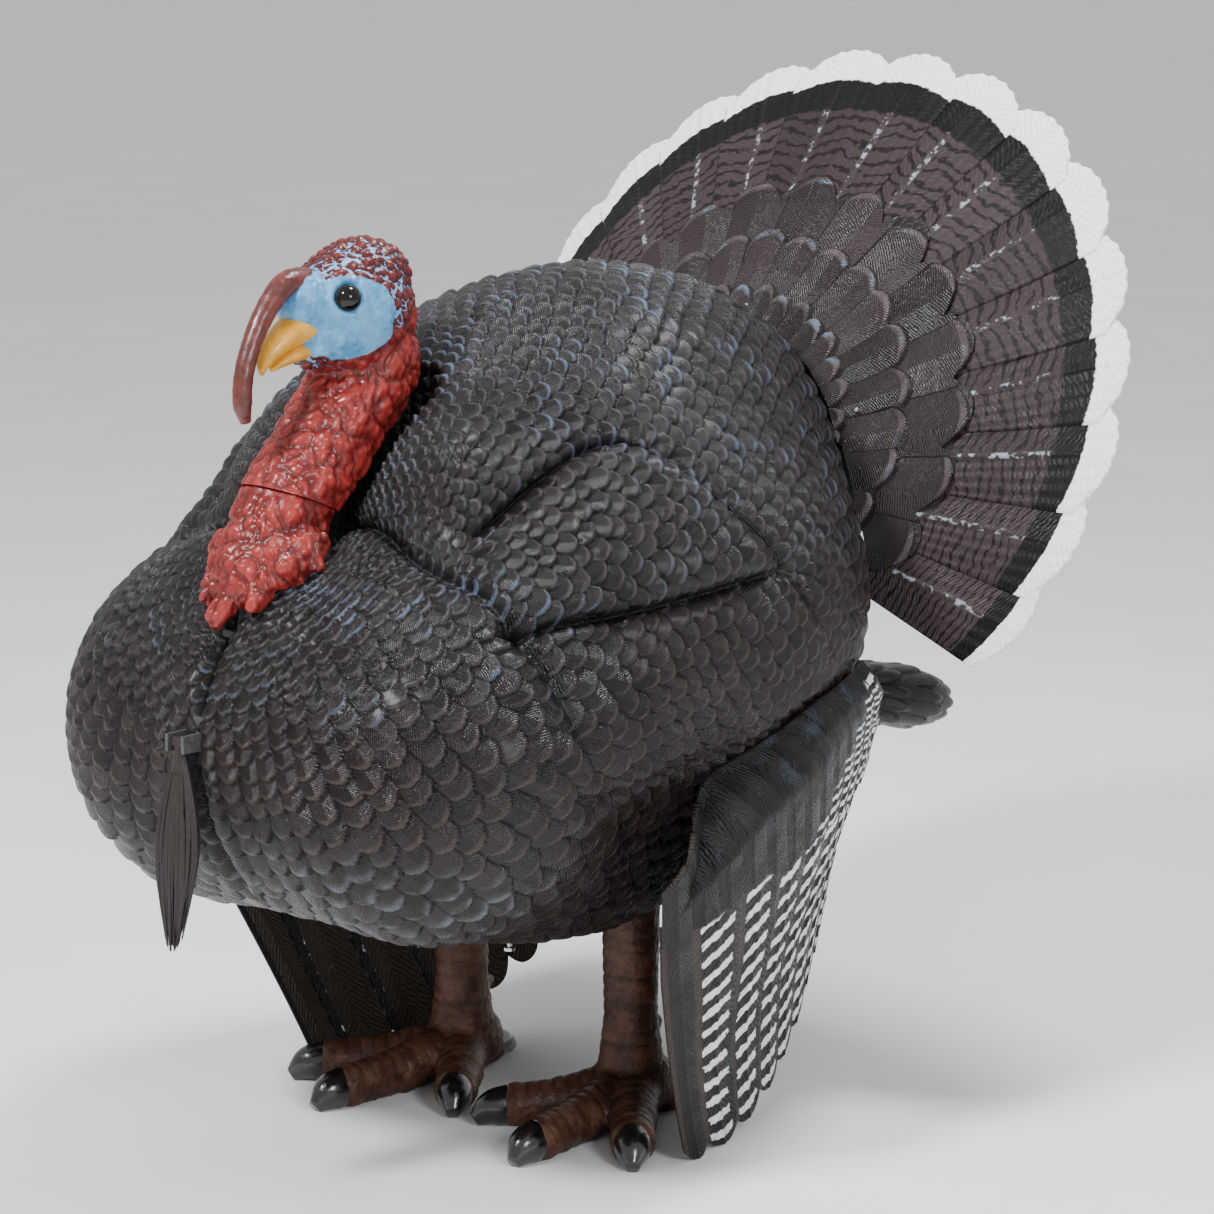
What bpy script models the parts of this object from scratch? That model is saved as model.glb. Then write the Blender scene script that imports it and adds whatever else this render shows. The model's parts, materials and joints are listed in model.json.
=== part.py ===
"""Turkey decoy, a strutting tom: a moulded hollow body on two feet, with a turning head, a tail fan
that tilts on a pivot, and a swinging beard.

Frame: +Z up, the bird faces -Y, +X is the bird's left. Every size below is written from a datum on
the ground midway between the legs, and the last step moves the whole bird by FRAME_SHIFT_Y, so that
the origin is at the centre of its footprint. Metres.
"""

import math

import bmesh
import bpy
import numpy as np
from mathutils import Matrix, Vector

# ---------------------------------------------------------------- driving dimensions
FRAME_SHIFT_Y = -0.0176
GAP = 0.0004
BED = 0.0009
WALL = 0.003

BODY_CENTRE = (0.0, 0.0, 0.330)
BODY_BLEND = 0.022
BODY_SEGMENTS = 32
BODY_RINGS = 24
# centre and radii of each lump; one off the midline has a twin across it
BODY_LUMPS = (
    ((0.000, 0.030, 0.345), (0.152, 0.205, 0.175)),
    ((0.084, -0.188, 0.288), (0.108, 0.128, 0.120)),
    ((0.000, -0.205, 0.295), (0.060, 0.118, 0.110)),
    ((0.000, 0.035, 0.452), (0.125, 0.160, 0.115)),
    ((0.052, -0.085, 0.435), (0.080, 0.120, 0.085)),
    ((0.110, -0.005, 0.350), (0.100, 0.165, 0.125)),
    ((0.040, -0.040, 0.225), (0.100, 0.135, 0.090)),
    ((0.000, 0.125, 0.415), (0.105, 0.105, 0.115)),
    ((0.000, 0.110, 0.290), (0.095, 0.110, 0.090)),
)

NECK_JOINT = (0.0, -0.234, 0.450)
NECK_LEAN = 22.0
NECK_RADIUS = 0.031
NECK_REACH = 0.105
NECK_CLEARANCE = 0.041
NECK_FLARE = 0.42
HEAD_CLEARANCE = 0.063
SPIGOT_RADIUS = 0.0125
FLANGE_RADIUS = 0.0245
COLLAR_SCREW = 0.0215
NECK_TOP = (0.0, -0.170, 0.516)
NECK_FOOT = (0.0, -0.243, 0.440)
HEAD_CENTRE = (0.0, -0.182, 0.556)
EYE = (0.0230, -0.209, 0.571)
EYE_RADIUS = 0.0090
# heavy lumps of the head, as centre and radii
HEAD_LUMPS = (
    ((0.0, -0.182, 0.556), (0.036, 0.050, 0.046)),
    ((0.0, -0.174, 0.576), (0.029, 0.040, 0.029)),
    ((0.0, -0.168, 0.524), (0.033, 0.038, 0.036)),
    ((0.0, -0.222, 0.566), (0.019, 0.020, 0.022)),
    ((0.0, -0.212, 0.540), (0.020, 0.022, 0.018)),
)
SNOOD_PATH = ((0.0, -0.218, 0.574), (0.0, -0.240, 0.5795), (0.0, -0.259, 0.560), (0.0, -0.272, 0.541),
              (0.0, -0.279, 0.521), (0.0, -0.277, 0.504), (0.0, -0.274, 0.495))
SNOOD_RADIUS = 0.0063

LEG_X = 0.078
SHANK_RADIUS = 0.0205
TOE_TIPS = ((0.012, -0.080), (0.091, -0.130), (0.155, -0.088))
HIND_TOE_TIP = (0.090, 0.060)
LEG_ROD_RADIUS = 0.004
LEG_ROD_FOOT = 0.040

CHASSIS_Z = 0.172
CHASSIS_THICKNESS = 0.006
CHASSIS_SCREWS = ((0.045, -0.085), (0.045, 0.055))
SCREW_RADIUS = 0.0016
HEAD_RADIUS = 0.0038
HEAD_THICKNESS = 0.0020
# places under a screw head, and under a push nut, at which its seat is measured
HEAD_SPOTS = ((0.0, 0.0), (HEAD_RADIUS, 0.0), (-HEAD_RADIUS, 0.0), (0.0, HEAD_RADIUS), (0.0, -HEAD_RADIUS))
NUT_SPOTS = ((0.0, 0.0), (0.0085, 0.0), (-0.0085, 0.0), (0.0, 0.0085), (0.0, -0.0085))

STAKE_RADIUS = 0.0115
STAKE_DEPTH = 0.110
SOCKET_RADIUS = 0.0180

WING_THICKNESS = 0.006
WING_PEGS = ((-0.060, 0.240), (0.050, 0.268))
PEG_RADIUS = 0.0042
# edges of the wing in side view, as (y, z)
WING_TOP = ((-0.135, 0.206), (-0.060, 0.262), (0.040, 0.300), (0.115, 0.312))
WING_FRONT = ((-0.135, 0.206), (-0.112, 0.140), (-0.082, 0.070), (-0.052, 0.000))
WING_REAR = ((0.115, 0.312), (0.170, 0.262), (0.176, 0.222), (0.142, 0.178), (0.152, 0.110))
WING_FOOT = ((-0.052, 0.000), (0.015, 0.001), (0.080, 0.022), (0.130, 0.055), (0.152, 0.110))

FAN_APEX = (0.0, 0.130, 0.427)
FAN_RIM_CENTRE = (0.0, 0.266, 0.448)
FAN_RIM_RADIUS = 0.280
FAN_TILT = 25.0
FAN_SPREAD = 126.0
FAN_FEATHERS = 18
FAN_THICKNESS = 0.004
TIP_ROUNDING = 0.032
COVERT_LOBES = 14
COVERT_SHARE = 0.640
COVERT_THICKNESS = 0.006
COVERT_LIFT = 0.0070
HUB_LIFT = -0.0065
HUB_BOW = 0.020
HUB_RIM_SHARE = 0.74
FAN_SCREW_ANGLES = (-75.0, 0.0, 75.0)
FAN_SCREW_BEYOND = 0.024
FAN_SCREW_SEAT = -0.0110
FAN_PIVOT = (0.0, 0.262, 0.345)
FAN_HUB = (0.0, 0.264, 0.415)
EAR_OUTER = 0.0215
EAR_INNER = 0.0160
PIN_RADIUS = 0.003
BRACKET_SCREW = (0.0262, 0.345)
BRACKET_HALF = 0.0310
BRACKET_BACK = FAN_PIVOT[1] - 0.0140

TUFT_PEG = (0.045, 0.268)
TUFT_LOBES = ((0.000, 0.250), (0.048, 0.250), (0.092, 0.238), (0.126, 0.224))

BEARD_PIVOT = (0.0, -0.335, 0.304)
BEARD_TIP = (0.0, -0.345, 0.168)
HANGER_HALF = 0.0058
HANGER_SLOT = (0.0092, 0.0085)
# share of the beard's length, half-width and half-depth
BEARD_LUMPS = ((0.30, 0.0110, 0.0045), (0.44, 0.0160, 0.0060), (0.60, 0.0190, 0.0072),
               (0.74, 0.0170, 0.0070), (0.86, 0.0110, 0.0058))


# ---------------------------------------------------------------- scene and materials
def clear_scene():
    for old in list(bpy.data.objects):
        bpy.data.objects.remove(old)
    parts = bpy.data.collections.new("turkey_decoy")
    cutters = bpy.data.collections.new("cutters")
    cutters.hide_render = True
    bpy.context.scene.collection.children.link(parts)
    bpy.context.scene.collection.children.link(cutters)
    return parts, cutters


PARTS, CUTTERS = clear_scene()

# base colour, roughness and metallic value of each material
FINISHES = {
    "feather_brown": ((0.048, 0.037, 0.034), 0.45, 0.0),
    "wing_slate": ((0.040, 0.034, 0.036), 0.50, 0.0),
    "tail_brown": ((0.095, 0.066, 0.058), 0.50, 0.0),
    "skin_red": ((0.330, 0.040, 0.032), 0.35, 0.0),
    "leg_brown": ((0.120, 0.056, 0.040), 0.50, 0.0),
    "eye_black": ((0.008, 0.008, 0.008), 0.08, 0.0),
    "beard_black": ((0.030, 0.022, 0.020), 0.55, 0.0),
    "inner_plastic": ((0.055, 0.055, 0.058), 0.60, 0.0),
    "plated_steel": ((0.600, 0.600, 0.590), 0.30, 1.0),
}


def material(name):
    if name in bpy.data.materials:
        return bpy.data.materials[name]
    colour, roughness, metallic = FINISHES[name]
    made = bpy.data.materials.new(name)
    made.use_nodes = True
    shader = made.node_tree.nodes["Principled BSDF"]
    shader.inputs["Base Color"].default_value = (*colour, 1.0)
    shader.inputs["Roughness"].default_value = roughness
    shader.inputs["Metallic"].default_value = metallic
    return made


# ---------------------------------------------------------------- mesh helpers
def mesh_object(name, bm, collection):
    mesh = bpy.data.meshes.new(name)
    bm.to_mesh(mesh)
    bm.free()
    made = bpy.data.objects.new(name, mesh)
    collection.objects.link(made)
    return made


def part(name, bm, finish):
    made = mesh_object(name, bm, PARTS)
    made.data.materials.append(material(finish))
    return made


def cutter(name, bm):
    made = mesh_object(name, bm, CUTTERS)
    made.hide_render = True
    made.display_type = "WIRE"
    return made


def add_box(bm, low, high):
    low, high = Vector(low), Vector(high)
    size = Matrix.Diagonal((*(high - low), 1.0))
    return bmesh.ops.create_cube(bm, size=1.0, matrix=Matrix.Translation((low + high) / 2) @ size)


def add_rod(bm, start, end, start_radius, end_radius=None, segments=16):
    """A capped cone between two points."""
    start, end = Vector(start), Vector(end)
    along = end - start
    turn = along.to_track_quat("Z", "Y").to_matrix().to_4x4()
    place = Matrix.Translation((start + end) / 2) @ turn
    end_radius = start_radius if end_radius is None else end_radius
    return bmesh.ops.create_cone(
        bm, cap_ends=True, segments=segments, radius1=start_radius, radius2=end_radius,
        depth=along.length, matrix=place)


def add_ball(bm, centre, radii, segments=16, turn=None):
    turn = turn or Matrix.Identity(4)
    place = Matrix.Translation(centre) @ turn @ Matrix.Diagonal((*radii, 1.0))
    return bmesh.ops.create_uvsphere(
        bm, u_segments=segments, v_segments=segments // 2, radius=1.0, matrix=place)


def bake(obj):
    """Replaces the object's mesh with what its modifiers make of it."""
    bpy.context.view_layer.update()
    graph = bpy.context.evaluated_depsgraph_get()
    baked = bpy.data.meshes.new_from_object(obj.evaluated_get(graph))
    obj.modifiers.clear()
    obj.data = baked


def boolean(obj, other, operation="DIFFERENCE"):
    cut = obj.modifiers.new(operation.lower(), "BOOLEAN")
    cut.operation = operation
    cut.solver = "EXACT"
    cut.object = other
    bake(obj)


def cut_rod(obj, start, end, radius, segments=20):
    bm = bmesh.new()
    add_rod(bm, start, end, radius, segments=segments)
    tool = cutter(obj.name + "_cutter", bm)
    boolean(obj, tool)


def cut_box(obj, low, high):
    bm = bmesh.new()
    add_box(bm, low, high)
    tool = cutter(obj.name + "_cutter", bm)
    boolean(obj, tool)


def merge_lumps(obj, voxel, keep):
    """Joins overlapping closed lumps into one skin, then thins its faces to the share kept."""
    joined = obj.modifiers.new("join", "REMESH")
    joined.mode = "VOXEL"
    joined.voxel_size = voxel
    thin = obj.modifiers.new("thin", "DECIMATE")
    thin.ratio = keep
    bake(obj)


def smooth(obj, angle=45):
    obj.data.shade_smooth()
    obj.data.set_sharp_from_angle(angle=math.radians(angle))


def both_sides():
    return (("left", 1), ("right", -1))


# ---------------------------------------------------------------- body surface
def neck_room(points):
    """Above zero inside the flared room that the leaning neck sweeps as it turns."""
    axis = np.array(neck_axis())
    offset = points - np.array(NECK_JOINT)
    height = offset @ axis
    held = np.clip(height, 0.0, NECK_REACH)
    across = np.linalg.norm(offset - held[:, None] * axis, axis=1)
    return np.minimum(NECK_CLEARANCE + NECK_FLARE * held - across, NECK_REACH - height)


def lumps_field(points):
    """Below zero inside the smooth union of the body's lumps."""
    total = np.zeros(len(points))
    for centre, radii in BODY_LUMPS:
        sides = (1, -1) if centre[0] else (1,)
        for side in sides:
            offset = points - np.array((centre[0] * side, centre[1], centre[2]))
            scaled = offset / radii
            reach = np.linalg.norm(scaled, axis=1) + 1e-9
            slope = np.linalg.norm(scaled / radii, axis=1) + 1e-9
            distance = reach * (reach - 1.0) / slope
            total += np.exp(np.clip(-distance / BODY_BLEND, -60, 60))
    return -BODY_BLEND * np.log(total)


def body_field(points):
    """Below zero inside the body: the lumps, less the room for the turning neck and head."""
    skull = HEAD_CLEARANCE - np.linalg.norm(points - np.array(HEAD_CENTRE), axis=1)
    return np.maximum(lumps_field(points), np.maximum(neck_room(points), skull))


def last_crossing(origin, directions, field=body_field, far=0.6):
    """Distance along each direction at which it leaves the body."""
    low = np.zeros(len(directions))
    high = np.full(len(directions), far)
    for _ in range(26):
        middle = (low + high) / 2
        inside = field(origin + directions * middle[:, None]) < 0
        low = np.where(inside, middle, low)
        high = np.where(inside, high, middle)
    return (low + high) / 2


def body_point(origin, direction, inset=0.0):
    """Where the line from an inner point leaves the body, less an inset."""
    direction = np.array(direction, float)
    direction /= np.linalg.norm(direction)
    reach = last_crossing(np.array(origin, float), direction[None, :])[0] - inset
    return Vector(np.array(origin) + direction * reach)


def body_ball(grow):
    """The body's lumps as a closed ball of faces, the same on both sides, with poles at breast and rump."""
    bm = bmesh.new()
    lie_down = Matrix.Rotation(math.radians(90), 4, "X")
    bmesh.ops.create_uvsphere(bm, u_segments=BODY_SEGMENTS, v_segments=BODY_RINGS, radius=1.0,
                              matrix=lie_down)
    bmesh.ops.delete(bm, geom=[vert for vert in bm.verts if vert.co.x < -0.001], context="VERTS")
    directions = np.array([vert.co.normalized() for vert in bm.verts])
    reach = last_crossing(np.array(BODY_CENTRE), directions, lumps_field) + grow
    for vert, direction, length in zip(bm.verts, directions, reach):
        vert.co = Vector(np.array(BODY_CENTRE) + direction * length)
        vert.co.x = vert.co.x if abs(vert.co.x) > 0.00001 else 0.0
    bmesh.ops.triangulate(bm, faces=bm.faces)
    bmesh.ops.mirror(bm, geom=bm.verts[:] + bm.edges[:] + bm.faces[:], axis="X", merge_dist=0.00001)
    bmesh.ops.recalc_face_normals(bm, faces=bm.faces)
    return bm


def body_solid(name, grow):
    """The body's outer form, hollowed for the neck and the back of the head, grown by a margin."""
    solid = cutter(name, body_ball(grow))
    for centre, radius in ((NECK_JOINT, NECK_CLEARANCE), (HEAD_CENTRE, HEAD_CLEARANCE)):
        bm = bmesh.new()
        add_ball(bm, centre, (radius - grow,) * 3, 24)
        boolean(solid, cutter(name + "_clearance", bm))
    bm = bmesh.new()
    add_rod(bm, NECK_JOINT, neck_point(NECK_REACH), NECK_CLEARANCE - grow,
            NECK_CLEARANCE + NECK_FLARE * NECK_REACH - grow, 24)
    boolean(solid, cutter(name + "_flare", bm))
    return solid


# ---------------------------------------------------------------- frame of the neck and of the fan
def neck_axis():
    lean = math.radians(NECK_LEAN)
    return Vector((0.0, math.sin(lean), math.cos(lean)))


def neck_point(height, aside=0.0, forward=0.0):
    """A point measured along the neck's axis from its joint."""
    axis = neck_axis()
    ahead = Vector((0.0, -axis.z, axis.y))
    return Vector(NECK_JOINT) + axis * height + Vector((aside, 0, 0)) + ahead * forward


def fan_rim(angle, grow=0.0):
    """A point of the fan's rim, at an angle in degrees from its top, towards the bird's left."""
    tilt, turn = math.radians(FAN_TILT), math.radians(angle)
    up = Vector((0.0, math.sin(tilt), math.cos(tilt)))
    aside = Vector((1.0, 0.0, 0.0))
    reach = FAN_RIM_RADIUS + grow
    return Vector(FAN_RIM_CENTRE) + (up * math.cos(turn) + aside * math.sin(turn)) * reach


def fan_normal():
    tilt = math.radians(FAN_TILT)
    return Vector((0.0, -math.cos(tilt), math.sin(tilt)))


def fan_surface(angle, share, lift=0.0):
    """A point at a share of the way from the fan's apex to its rim, lifted off the fan's face."""
    return Vector(FAN_APEX).lerp(fan_rim(angle), share) + fan_normal() * lift


# ---------------------------------------------------------------- body shells
def body_shells():
    """The left half shell with its openings, and its mirror image."""
    bm = bmesh.new()
    add_box(bm, (GAP, -1, -1), (1, 1, 1))
    shell = part("body_shell_left", bm, "feather_brown")
    boolean(shell, body_solid("body_form", 0.0), "INTERSECT")
    boolean(shell, body_solid("hollow", -WALL))
    cut_rod(shell, neck_point(-0.12), neck_point(0.02), SPIGOT_RADIUS + 0.0060)
    cut_rod(shell, (0, 0, 0.05), (0, 0, 0.2), SOCKET_RADIUS + 0.0010)
    cut_rod(shell, (LEG_X, 0, 0.05), (LEG_X, 0, 0.185), SHANK_RADIUS + 0.0030)
    for x, y in CHASSIS_SCREWS:
        cut_rod(shell, (x, y, 0.05), (x, y, 0.165), SCREW_RADIUS + 0.0008, 10)
    for y, z in WING_PEGS:
        cut_rod(shell, (0.1, y, z), (0.3, y, z), PEG_RADIUS + 0.0008, 12)
    for x, z, radius in ((*BRACKET_SCREW, SCREW_RADIUS), (*TUFT_PEG, PEG_RADIUS)):
        cut_rod(shell, (x, 0.1, z), (x, 0.3, z), radius + 0.0008, 10)
    cut_rod(shell, neck_point(0.0, COLLAR_SCREW), neck_point(collar_level() - 0.006, COLLAR_SCREW),
            SCREW_RADIUS + 0.0008, 10)
    wide, tall = HANGER_SLOT
    height = BEARD_PIVOT[2]
    cut_box(shell, (-wide, -0.4, height - tall), (wide, -0.27, height + tall))
    smooth(shell)
    mirrored_copy(shell, "body_shell_right")


def mirrored_copy(obj, name):
    bm = bmesh.new()
    bm.from_mesh(obj.data)
    bmesh.ops.scale(bm, vec=(-1, 1, 1), verts=bm.verts)
    bmesh.ops.reverse_faces(bm, faces=bm.faces)
    made = mesh_object(name, bm, PARTS)
    made.data.materials.append(obj.data.materials[0])
    return made


# ---------------------------------------------------------------- fasteners
def screw(name, head_seat, point, radius=SCREW_RADIUS, head_radius=HEAD_RADIUS):
    """A pan-head screw: its head lies outside head_seat, and its shank runs to point."""
    seat, point = Vector(head_seat), Vector(point)
    inward = (point - seat).normalized()
    bm = bmesh.new()
    add_rod(bm, seat, point, radius, segments=8)
    made = part(name, bm, "plated_steel")
    bm = bmesh.new()
    add_rod(bm, seat - inward * HEAD_THICKNESS, seat + inward * 0.00005, head_radius, segments=12)
    boolean(made, cutter(name + "_head", bm), "UNION")
    smooth(made)
    return made


def ring(name, centre, axis, inner, outer, thickness, finish="plated_steel", segments=14, hole=12):
    """A flat ring, thickness measured along the axis from its centre."""
    centre, axis = Vector(centre), Vector(axis).normalized()
    bm = bmesh.new()
    add_rod(bm, centre, centre + axis * thickness, outer, segments=segments)
    made = part(name, bm, finish)
    cut_rod(made, centre - axis * 0.01, centre + axis * (thickness + 0.01), inner, hole)
    smooth(made)
    return made


# ---------------------------------------------------------------- belly chassis and stake socket
def belly_height(x, y):
    """Height of the underside of the belly at a place."""
    return body_point((x, y, 0.26), (0, 0, -1)).z


def heights_around(x, y, radius):
    turns = [math.radians(45 * step) for step in range(8)]
    around = [(x + radius * math.cos(turn), y + radius * math.sin(turn)) for turn in turns]
    return [belly_height(*place) for place in around + [(x, y)]]


def chassis_outline(count=28):
    """The body's inside, cut level at the chassis, less a margin."""
    turns = np.linspace(0, 2 * math.pi, count, endpoint=False)
    directions = np.stack([np.cos(turns), np.sin(turns), np.zeros(count)], 1)
    middle = np.array((0.0, -0.015, CHASSIS_Z))
    reach = last_crossing(middle, directions) - 0.0165
    return [Vector(middle + direction * length) for direction, length in zip(directions, reach)]


def belly_chassis():
    bm = bmesh.new()
    face = bm.faces.new([bm.verts.new(point) for point in chassis_outline()])
    raised = bmesh.ops.extrude_face_region(bm, geom=[face])
    moved = [item for item in raised["geom"] if isinstance(item, bmesh.types.BMVert)]
    bmesh.ops.translate(bm, verts=moved, vec=(0, 0, CHASSIS_THICKNESS))
    bmesh.ops.recalc_face_normals(bm, faces=bm.faces)
    chassis = part("belly_chassis", bm, "inner_plastic")
    for side_name, side in both_sides():
        for number, (x, y) in enumerate(CHASSIS_SCREWS):
            low = max(heights_around(x * side, y, 0.006)) + 2.0 * WALL
            bm = bmesh.new()
            add_rod(bm, (x * side, y, low), (x * side, y, CHASSIS_Z + 0.001), 0.0058)
            boolean(chassis, cutter("post", bm), "UNION")
    for side_name, side in both_sides():
        cut_rod(chassis, (LEG_X * side, 0, 0.1), (LEG_X * side, 0, 0.3), LEG_ROD_RADIUS + 0.0005)
        for x, y in CHASSIS_SCREWS:
            top = CHASSIS_Z + CHASSIS_THICKNESS - 0.0015
            cut_rod(chassis, (x * side, y, 0.1), (x * side, y, top), SCREW_RADIUS + 0.0003, 12)
    cut_rod(chassis, (0, 0, 0.1), (0, 0, 0.3), SOCKET_RADIUS + 0.0006, 24)
    smooth(chassis)


def chassis_screws():
    number = 0
    for side_name, side in both_sides():
        for x, y in CHASSIS_SCREWS:
            number += 1
            seat = min(heights_around(x * side, y, HEAD_RADIUS)) - GAP
            top = CHASSIS_Z + CHASSIS_THICKNESS - 0.0030
            screw(f"chassis_screw_{number}", (x * side, y, seat), (x * side, y, top))


def stake_socket():
    """A blind tube for a ground stake, hung by its flange on the chassis."""
    low = min(heights_around(0, 0, SOCKET_RADIUS)) - 0.002
    flange = CHASSIS_Z + CHASSIS_THICKNESS + GAP
    top = low + STAKE_DEPTH + 0.003
    bm = bmesh.new()
    add_rod(bm, (0, 0, low), (0, 0, top), SOCKET_RADIUS, segments=24)
    socket = part("stake_socket", bm, "inner_plastic")
    bm = bmesh.new()
    add_rod(bm, (0, 0, flange), (0, 0, flange + 0.003), SOCKET_RADIUS + 0.008, segments=24)
    boolean(socket, cutter("flange", bm), "UNION")
    cut_rod(socket, (0, 0, low - 0.01), (0, 0, low + STAKE_DEPTH), STAKE_RADIUS, 24)
    smooth(socket)


# ---------------------------------------------------------------- legs
def toe_lumps(bm, ankle, tip, thick):
    """A toe of two swellings, with a claw at its end."""
    tip = Vector((*tip, 0.006))
    along = (tip - ankle).normalized()
    reach = (tip - ankle).length
    knuckle = ankle + along * reach * 0.45
    knuckle.z = thick * 0.80
    quick = tip - along * 0.024
    quick.z = thick * 0.72
    add_rod(bm, ankle, knuckle, thick * 1.15, thick * 0.95)
    add_rod(bm, knuckle, quick, thick * 0.95, thick * 0.88)
    add_ball(bm, knuckle, (thick, thick, thick * 0.98))
    add_ball(bm, quick, (thick * 0.9,) * 3)
    add_rod(bm, quick, tip, thick * 0.72, 0.0040)


def legs():
    bm = bmesh.new()
    ankle = Vector((LEG_X, 0.002, 0.024))
    top = CHASSIS_Z + 0.010
    add_rod(bm, (LEG_X, 0, 0.02), (LEG_X, 0, 0.075), 0.0250, 0.0185)
    add_rod(bm, (LEG_X, 0, 0.06), (LEG_X, 0, top), 0.0185, SHANK_RADIUS)
    add_ball(bm, ankle, (0.027, 0.029, 0.028))
    for tip in TOE_TIPS:
        toe_lumps(bm, ankle, tip, 0.0172)
    toe_lumps(bm, ankle + Vector((0, 0.010, 0)), HIND_TOE_TIP, 0.0120)
    made = part("leg_left", bm, "leg_brown")
    merge_lumps(made, 0.0045, 0.10)
    cut_box(made, (-1, -1, -1), (1, 1, 0))
    cut_box(made, (-1, -1, CHASSIS_Z - GAP), (1, 1, 1))
    cut_rod(made, (LEG_X, 0, LEG_ROD_FOOT), (LEG_X, 0, 0.3), LEG_ROD_RADIUS + GAP, 16)
    smooth(made, 60)
    mirrored_copy(made, "leg_right")


def leg_fixings():
    """The rod up each leg, with its washer and nut on the chassis."""
    deck = CHASSIS_Z + CHASSIS_THICKNESS + GAP
    hole = LEG_ROD_RADIUS + GAP
    for side_name, side in both_sides():
        x = LEG_X * side
        bm = bmesh.new()
        add_rod(bm, (x, 0, LEG_ROD_FOOT + GAP), (x, 0, deck + 0.012), LEG_ROD_RADIUS, segments=12)
        smooth(part(f"leg_rod_{side_name}", bm, "plated_steel"))
        ring(f"leg_washer_{side_name}", (x, 0, deck), (0, 0, 1), hole, 0.0110, 0.0015)
        nut_base = deck + 0.0015 + GAP
        ring(f"leg_nut_{side_name}", (x, 0, nut_base), (0, 0, 1), hole, 0.0080, 0.0065, segments=6)


# ---------------------------------------------------------------- wings
def flank(y, z):
    """Half-width of the body at a place seen from the side, or 0 beside the body."""
    inside = body_field(np.array([[0.0, y, z]]))[0] < 0
    return body_point((0.0, y, z), (1, 0, 0)).x if inside else 0.0


def wing_offset(y, z):
    """Distance of the wing's middle surface from the midline: it toes in to the rear and the foot."""
    back = y + 0.10
    hanging = 0.176 - 0.05 * back - 0.95 * back ** 2 + 0.040 * (max(z, 0.0) / 0.2) ** 1.5
    over_flank = flank(y, z) + 0.0075
    blend = 0.004
    return blend * np.logaddexp(hanging / blend, over_flank / blend)


def along_path(points, share):
    """The place at a share of a polyline's length."""
    points = [np.array(point) for point in points]
    steps = [np.linalg.norm(b - a) for a, b in zip(points, points[1:])]
    left = share * sum(steps)
    for start, end, step in zip(points, points[1:], steps):
        if left <= step or end is points[-1]:
            return start + (end - start) * min(left / step, 1.0)
        left -= step


def wing_place(back, down):
    """A Coons patch between the wing's four edges."""
    top, foot = along_path(WING_TOP, back), along_path(WING_FOOT, back)
    front, rear = along_path(WING_FRONT, down), along_path(WING_REAR, down)
    corners = (np.array(WING_TOP[0]) * (1 - back) * (1 - down) + np.array(WING_TOP[-1]) * back * (1 - down)
               + np.array(WING_FOOT[0]) * (1 - back) * down + np.array(WING_FOOT[-1]) * back * down)
    return top * (1 - down) + foot * down + front * (1 - back) + rear * back - corners


def wings():
    cells = 9
    bm = bmesh.new()
    bmesh.ops.create_grid(bm, x_segments=cells, y_segments=cells, size=0.5)
    for vert in bm.verts:
        y, z = wing_place(vert.co.x + 0.5, 0.5 - vert.co.y)
        vert.co = Vector((wing_offset(y, z), y, max(z, 0.0)))
    bmesh.ops.recalc_face_normals(bm, faces=bm.faces)
    made = part("wing_left", bm, "wing_slate")
    skin = made.modifiers.new("thickness", "SOLIDIFY")
    skin.thickness = WING_THICKNESS
    skin.offset = 0.0
    skin.use_rim = True
    bake(made)
    cut_box(made, (-1, -1, -1), (1, 1, 0))
    for y, z in WING_PEGS:
        root = wing_offset(y, z)
        bm = bmesh.new()
        add_rod(bm, (nut_place(y, z) - 0.006, y, z), (root, y, z), PEG_RADIUS, segments=12)
        boolean(made, cutter("peg", bm), "UNION")
    smooth(made)
    mirrored_copy(made, "wing_right")


def nut_place(y, z, radius=0.009):
    """How far out a push nut on a wing peg can sit inside the shell."""
    turns = [math.radians(45 * step) for step in range(8)]
    around = [flank(y + radius * math.cos(turn), z + radius * math.sin(turn)) for turn in turns]
    return min(around) - 1.8 * WALL - 0.0020


def wing_push_nuts():
    number = 0
    for side_name, side in both_sides():
        for y, z in WING_PEGS:
            number += 1
            place = nut_place(y, z)
            ring(f"wing_push_nut_{number}", (place * side, y, z), (side, 0, 0),
                 PEG_RADIUS + GAP, 0.0085, 0.0015)


# ---------------------------------------------------------------- neck, head


def neck_collar():
    """The fixed bush in which the head's spigot turns: a tube with a flange inside the breast."""
    flange = collar_level()
    bm = bmesh.new()
    add_rod(bm, neck_point(-0.040), neck_point(flange - 0.004), SPIGOT_RADIUS + 0.0045, segments=24)
    collar = part("neck_collar", bm, "inner_plastic")
    bm = bmesh.new()
    add_rod(bm, neck_point(flange), neck_point(flange - 0.004), FLANGE_RADIUS, segments=20)
    boolean(collar, cutter("collar_flange", bm), "UNION")
    cut_rod(collar, neck_point(0.05), neck_point(-0.2), SPIGOT_RADIUS + 0.0006, 24)
    for x in (COLLAR_SCREW, -COLLAR_SCREW):
        cut_rod(collar, neck_point(0.0, x), neck_point(-0.2, x), SCREW_RADIUS + 0.0003, 10)
    smooth(collar)


def collar_level():
    """How far down the neck's axis the flange must sit to clear the inside of the breast."""
    for step in range(40, 120):
        level = -step / 1000
        turns = np.radians(np.arange(0, 360, 15))
        reach = FLANGE_RADIUS + 0.001
        rim = np.array([neck_point(level, reach * math.cos(t), reach * math.sin(t)) for t in turns])
        if body_field(rim).max() < -(WALL + 0.003):
            return level
    return -0.12


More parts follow.
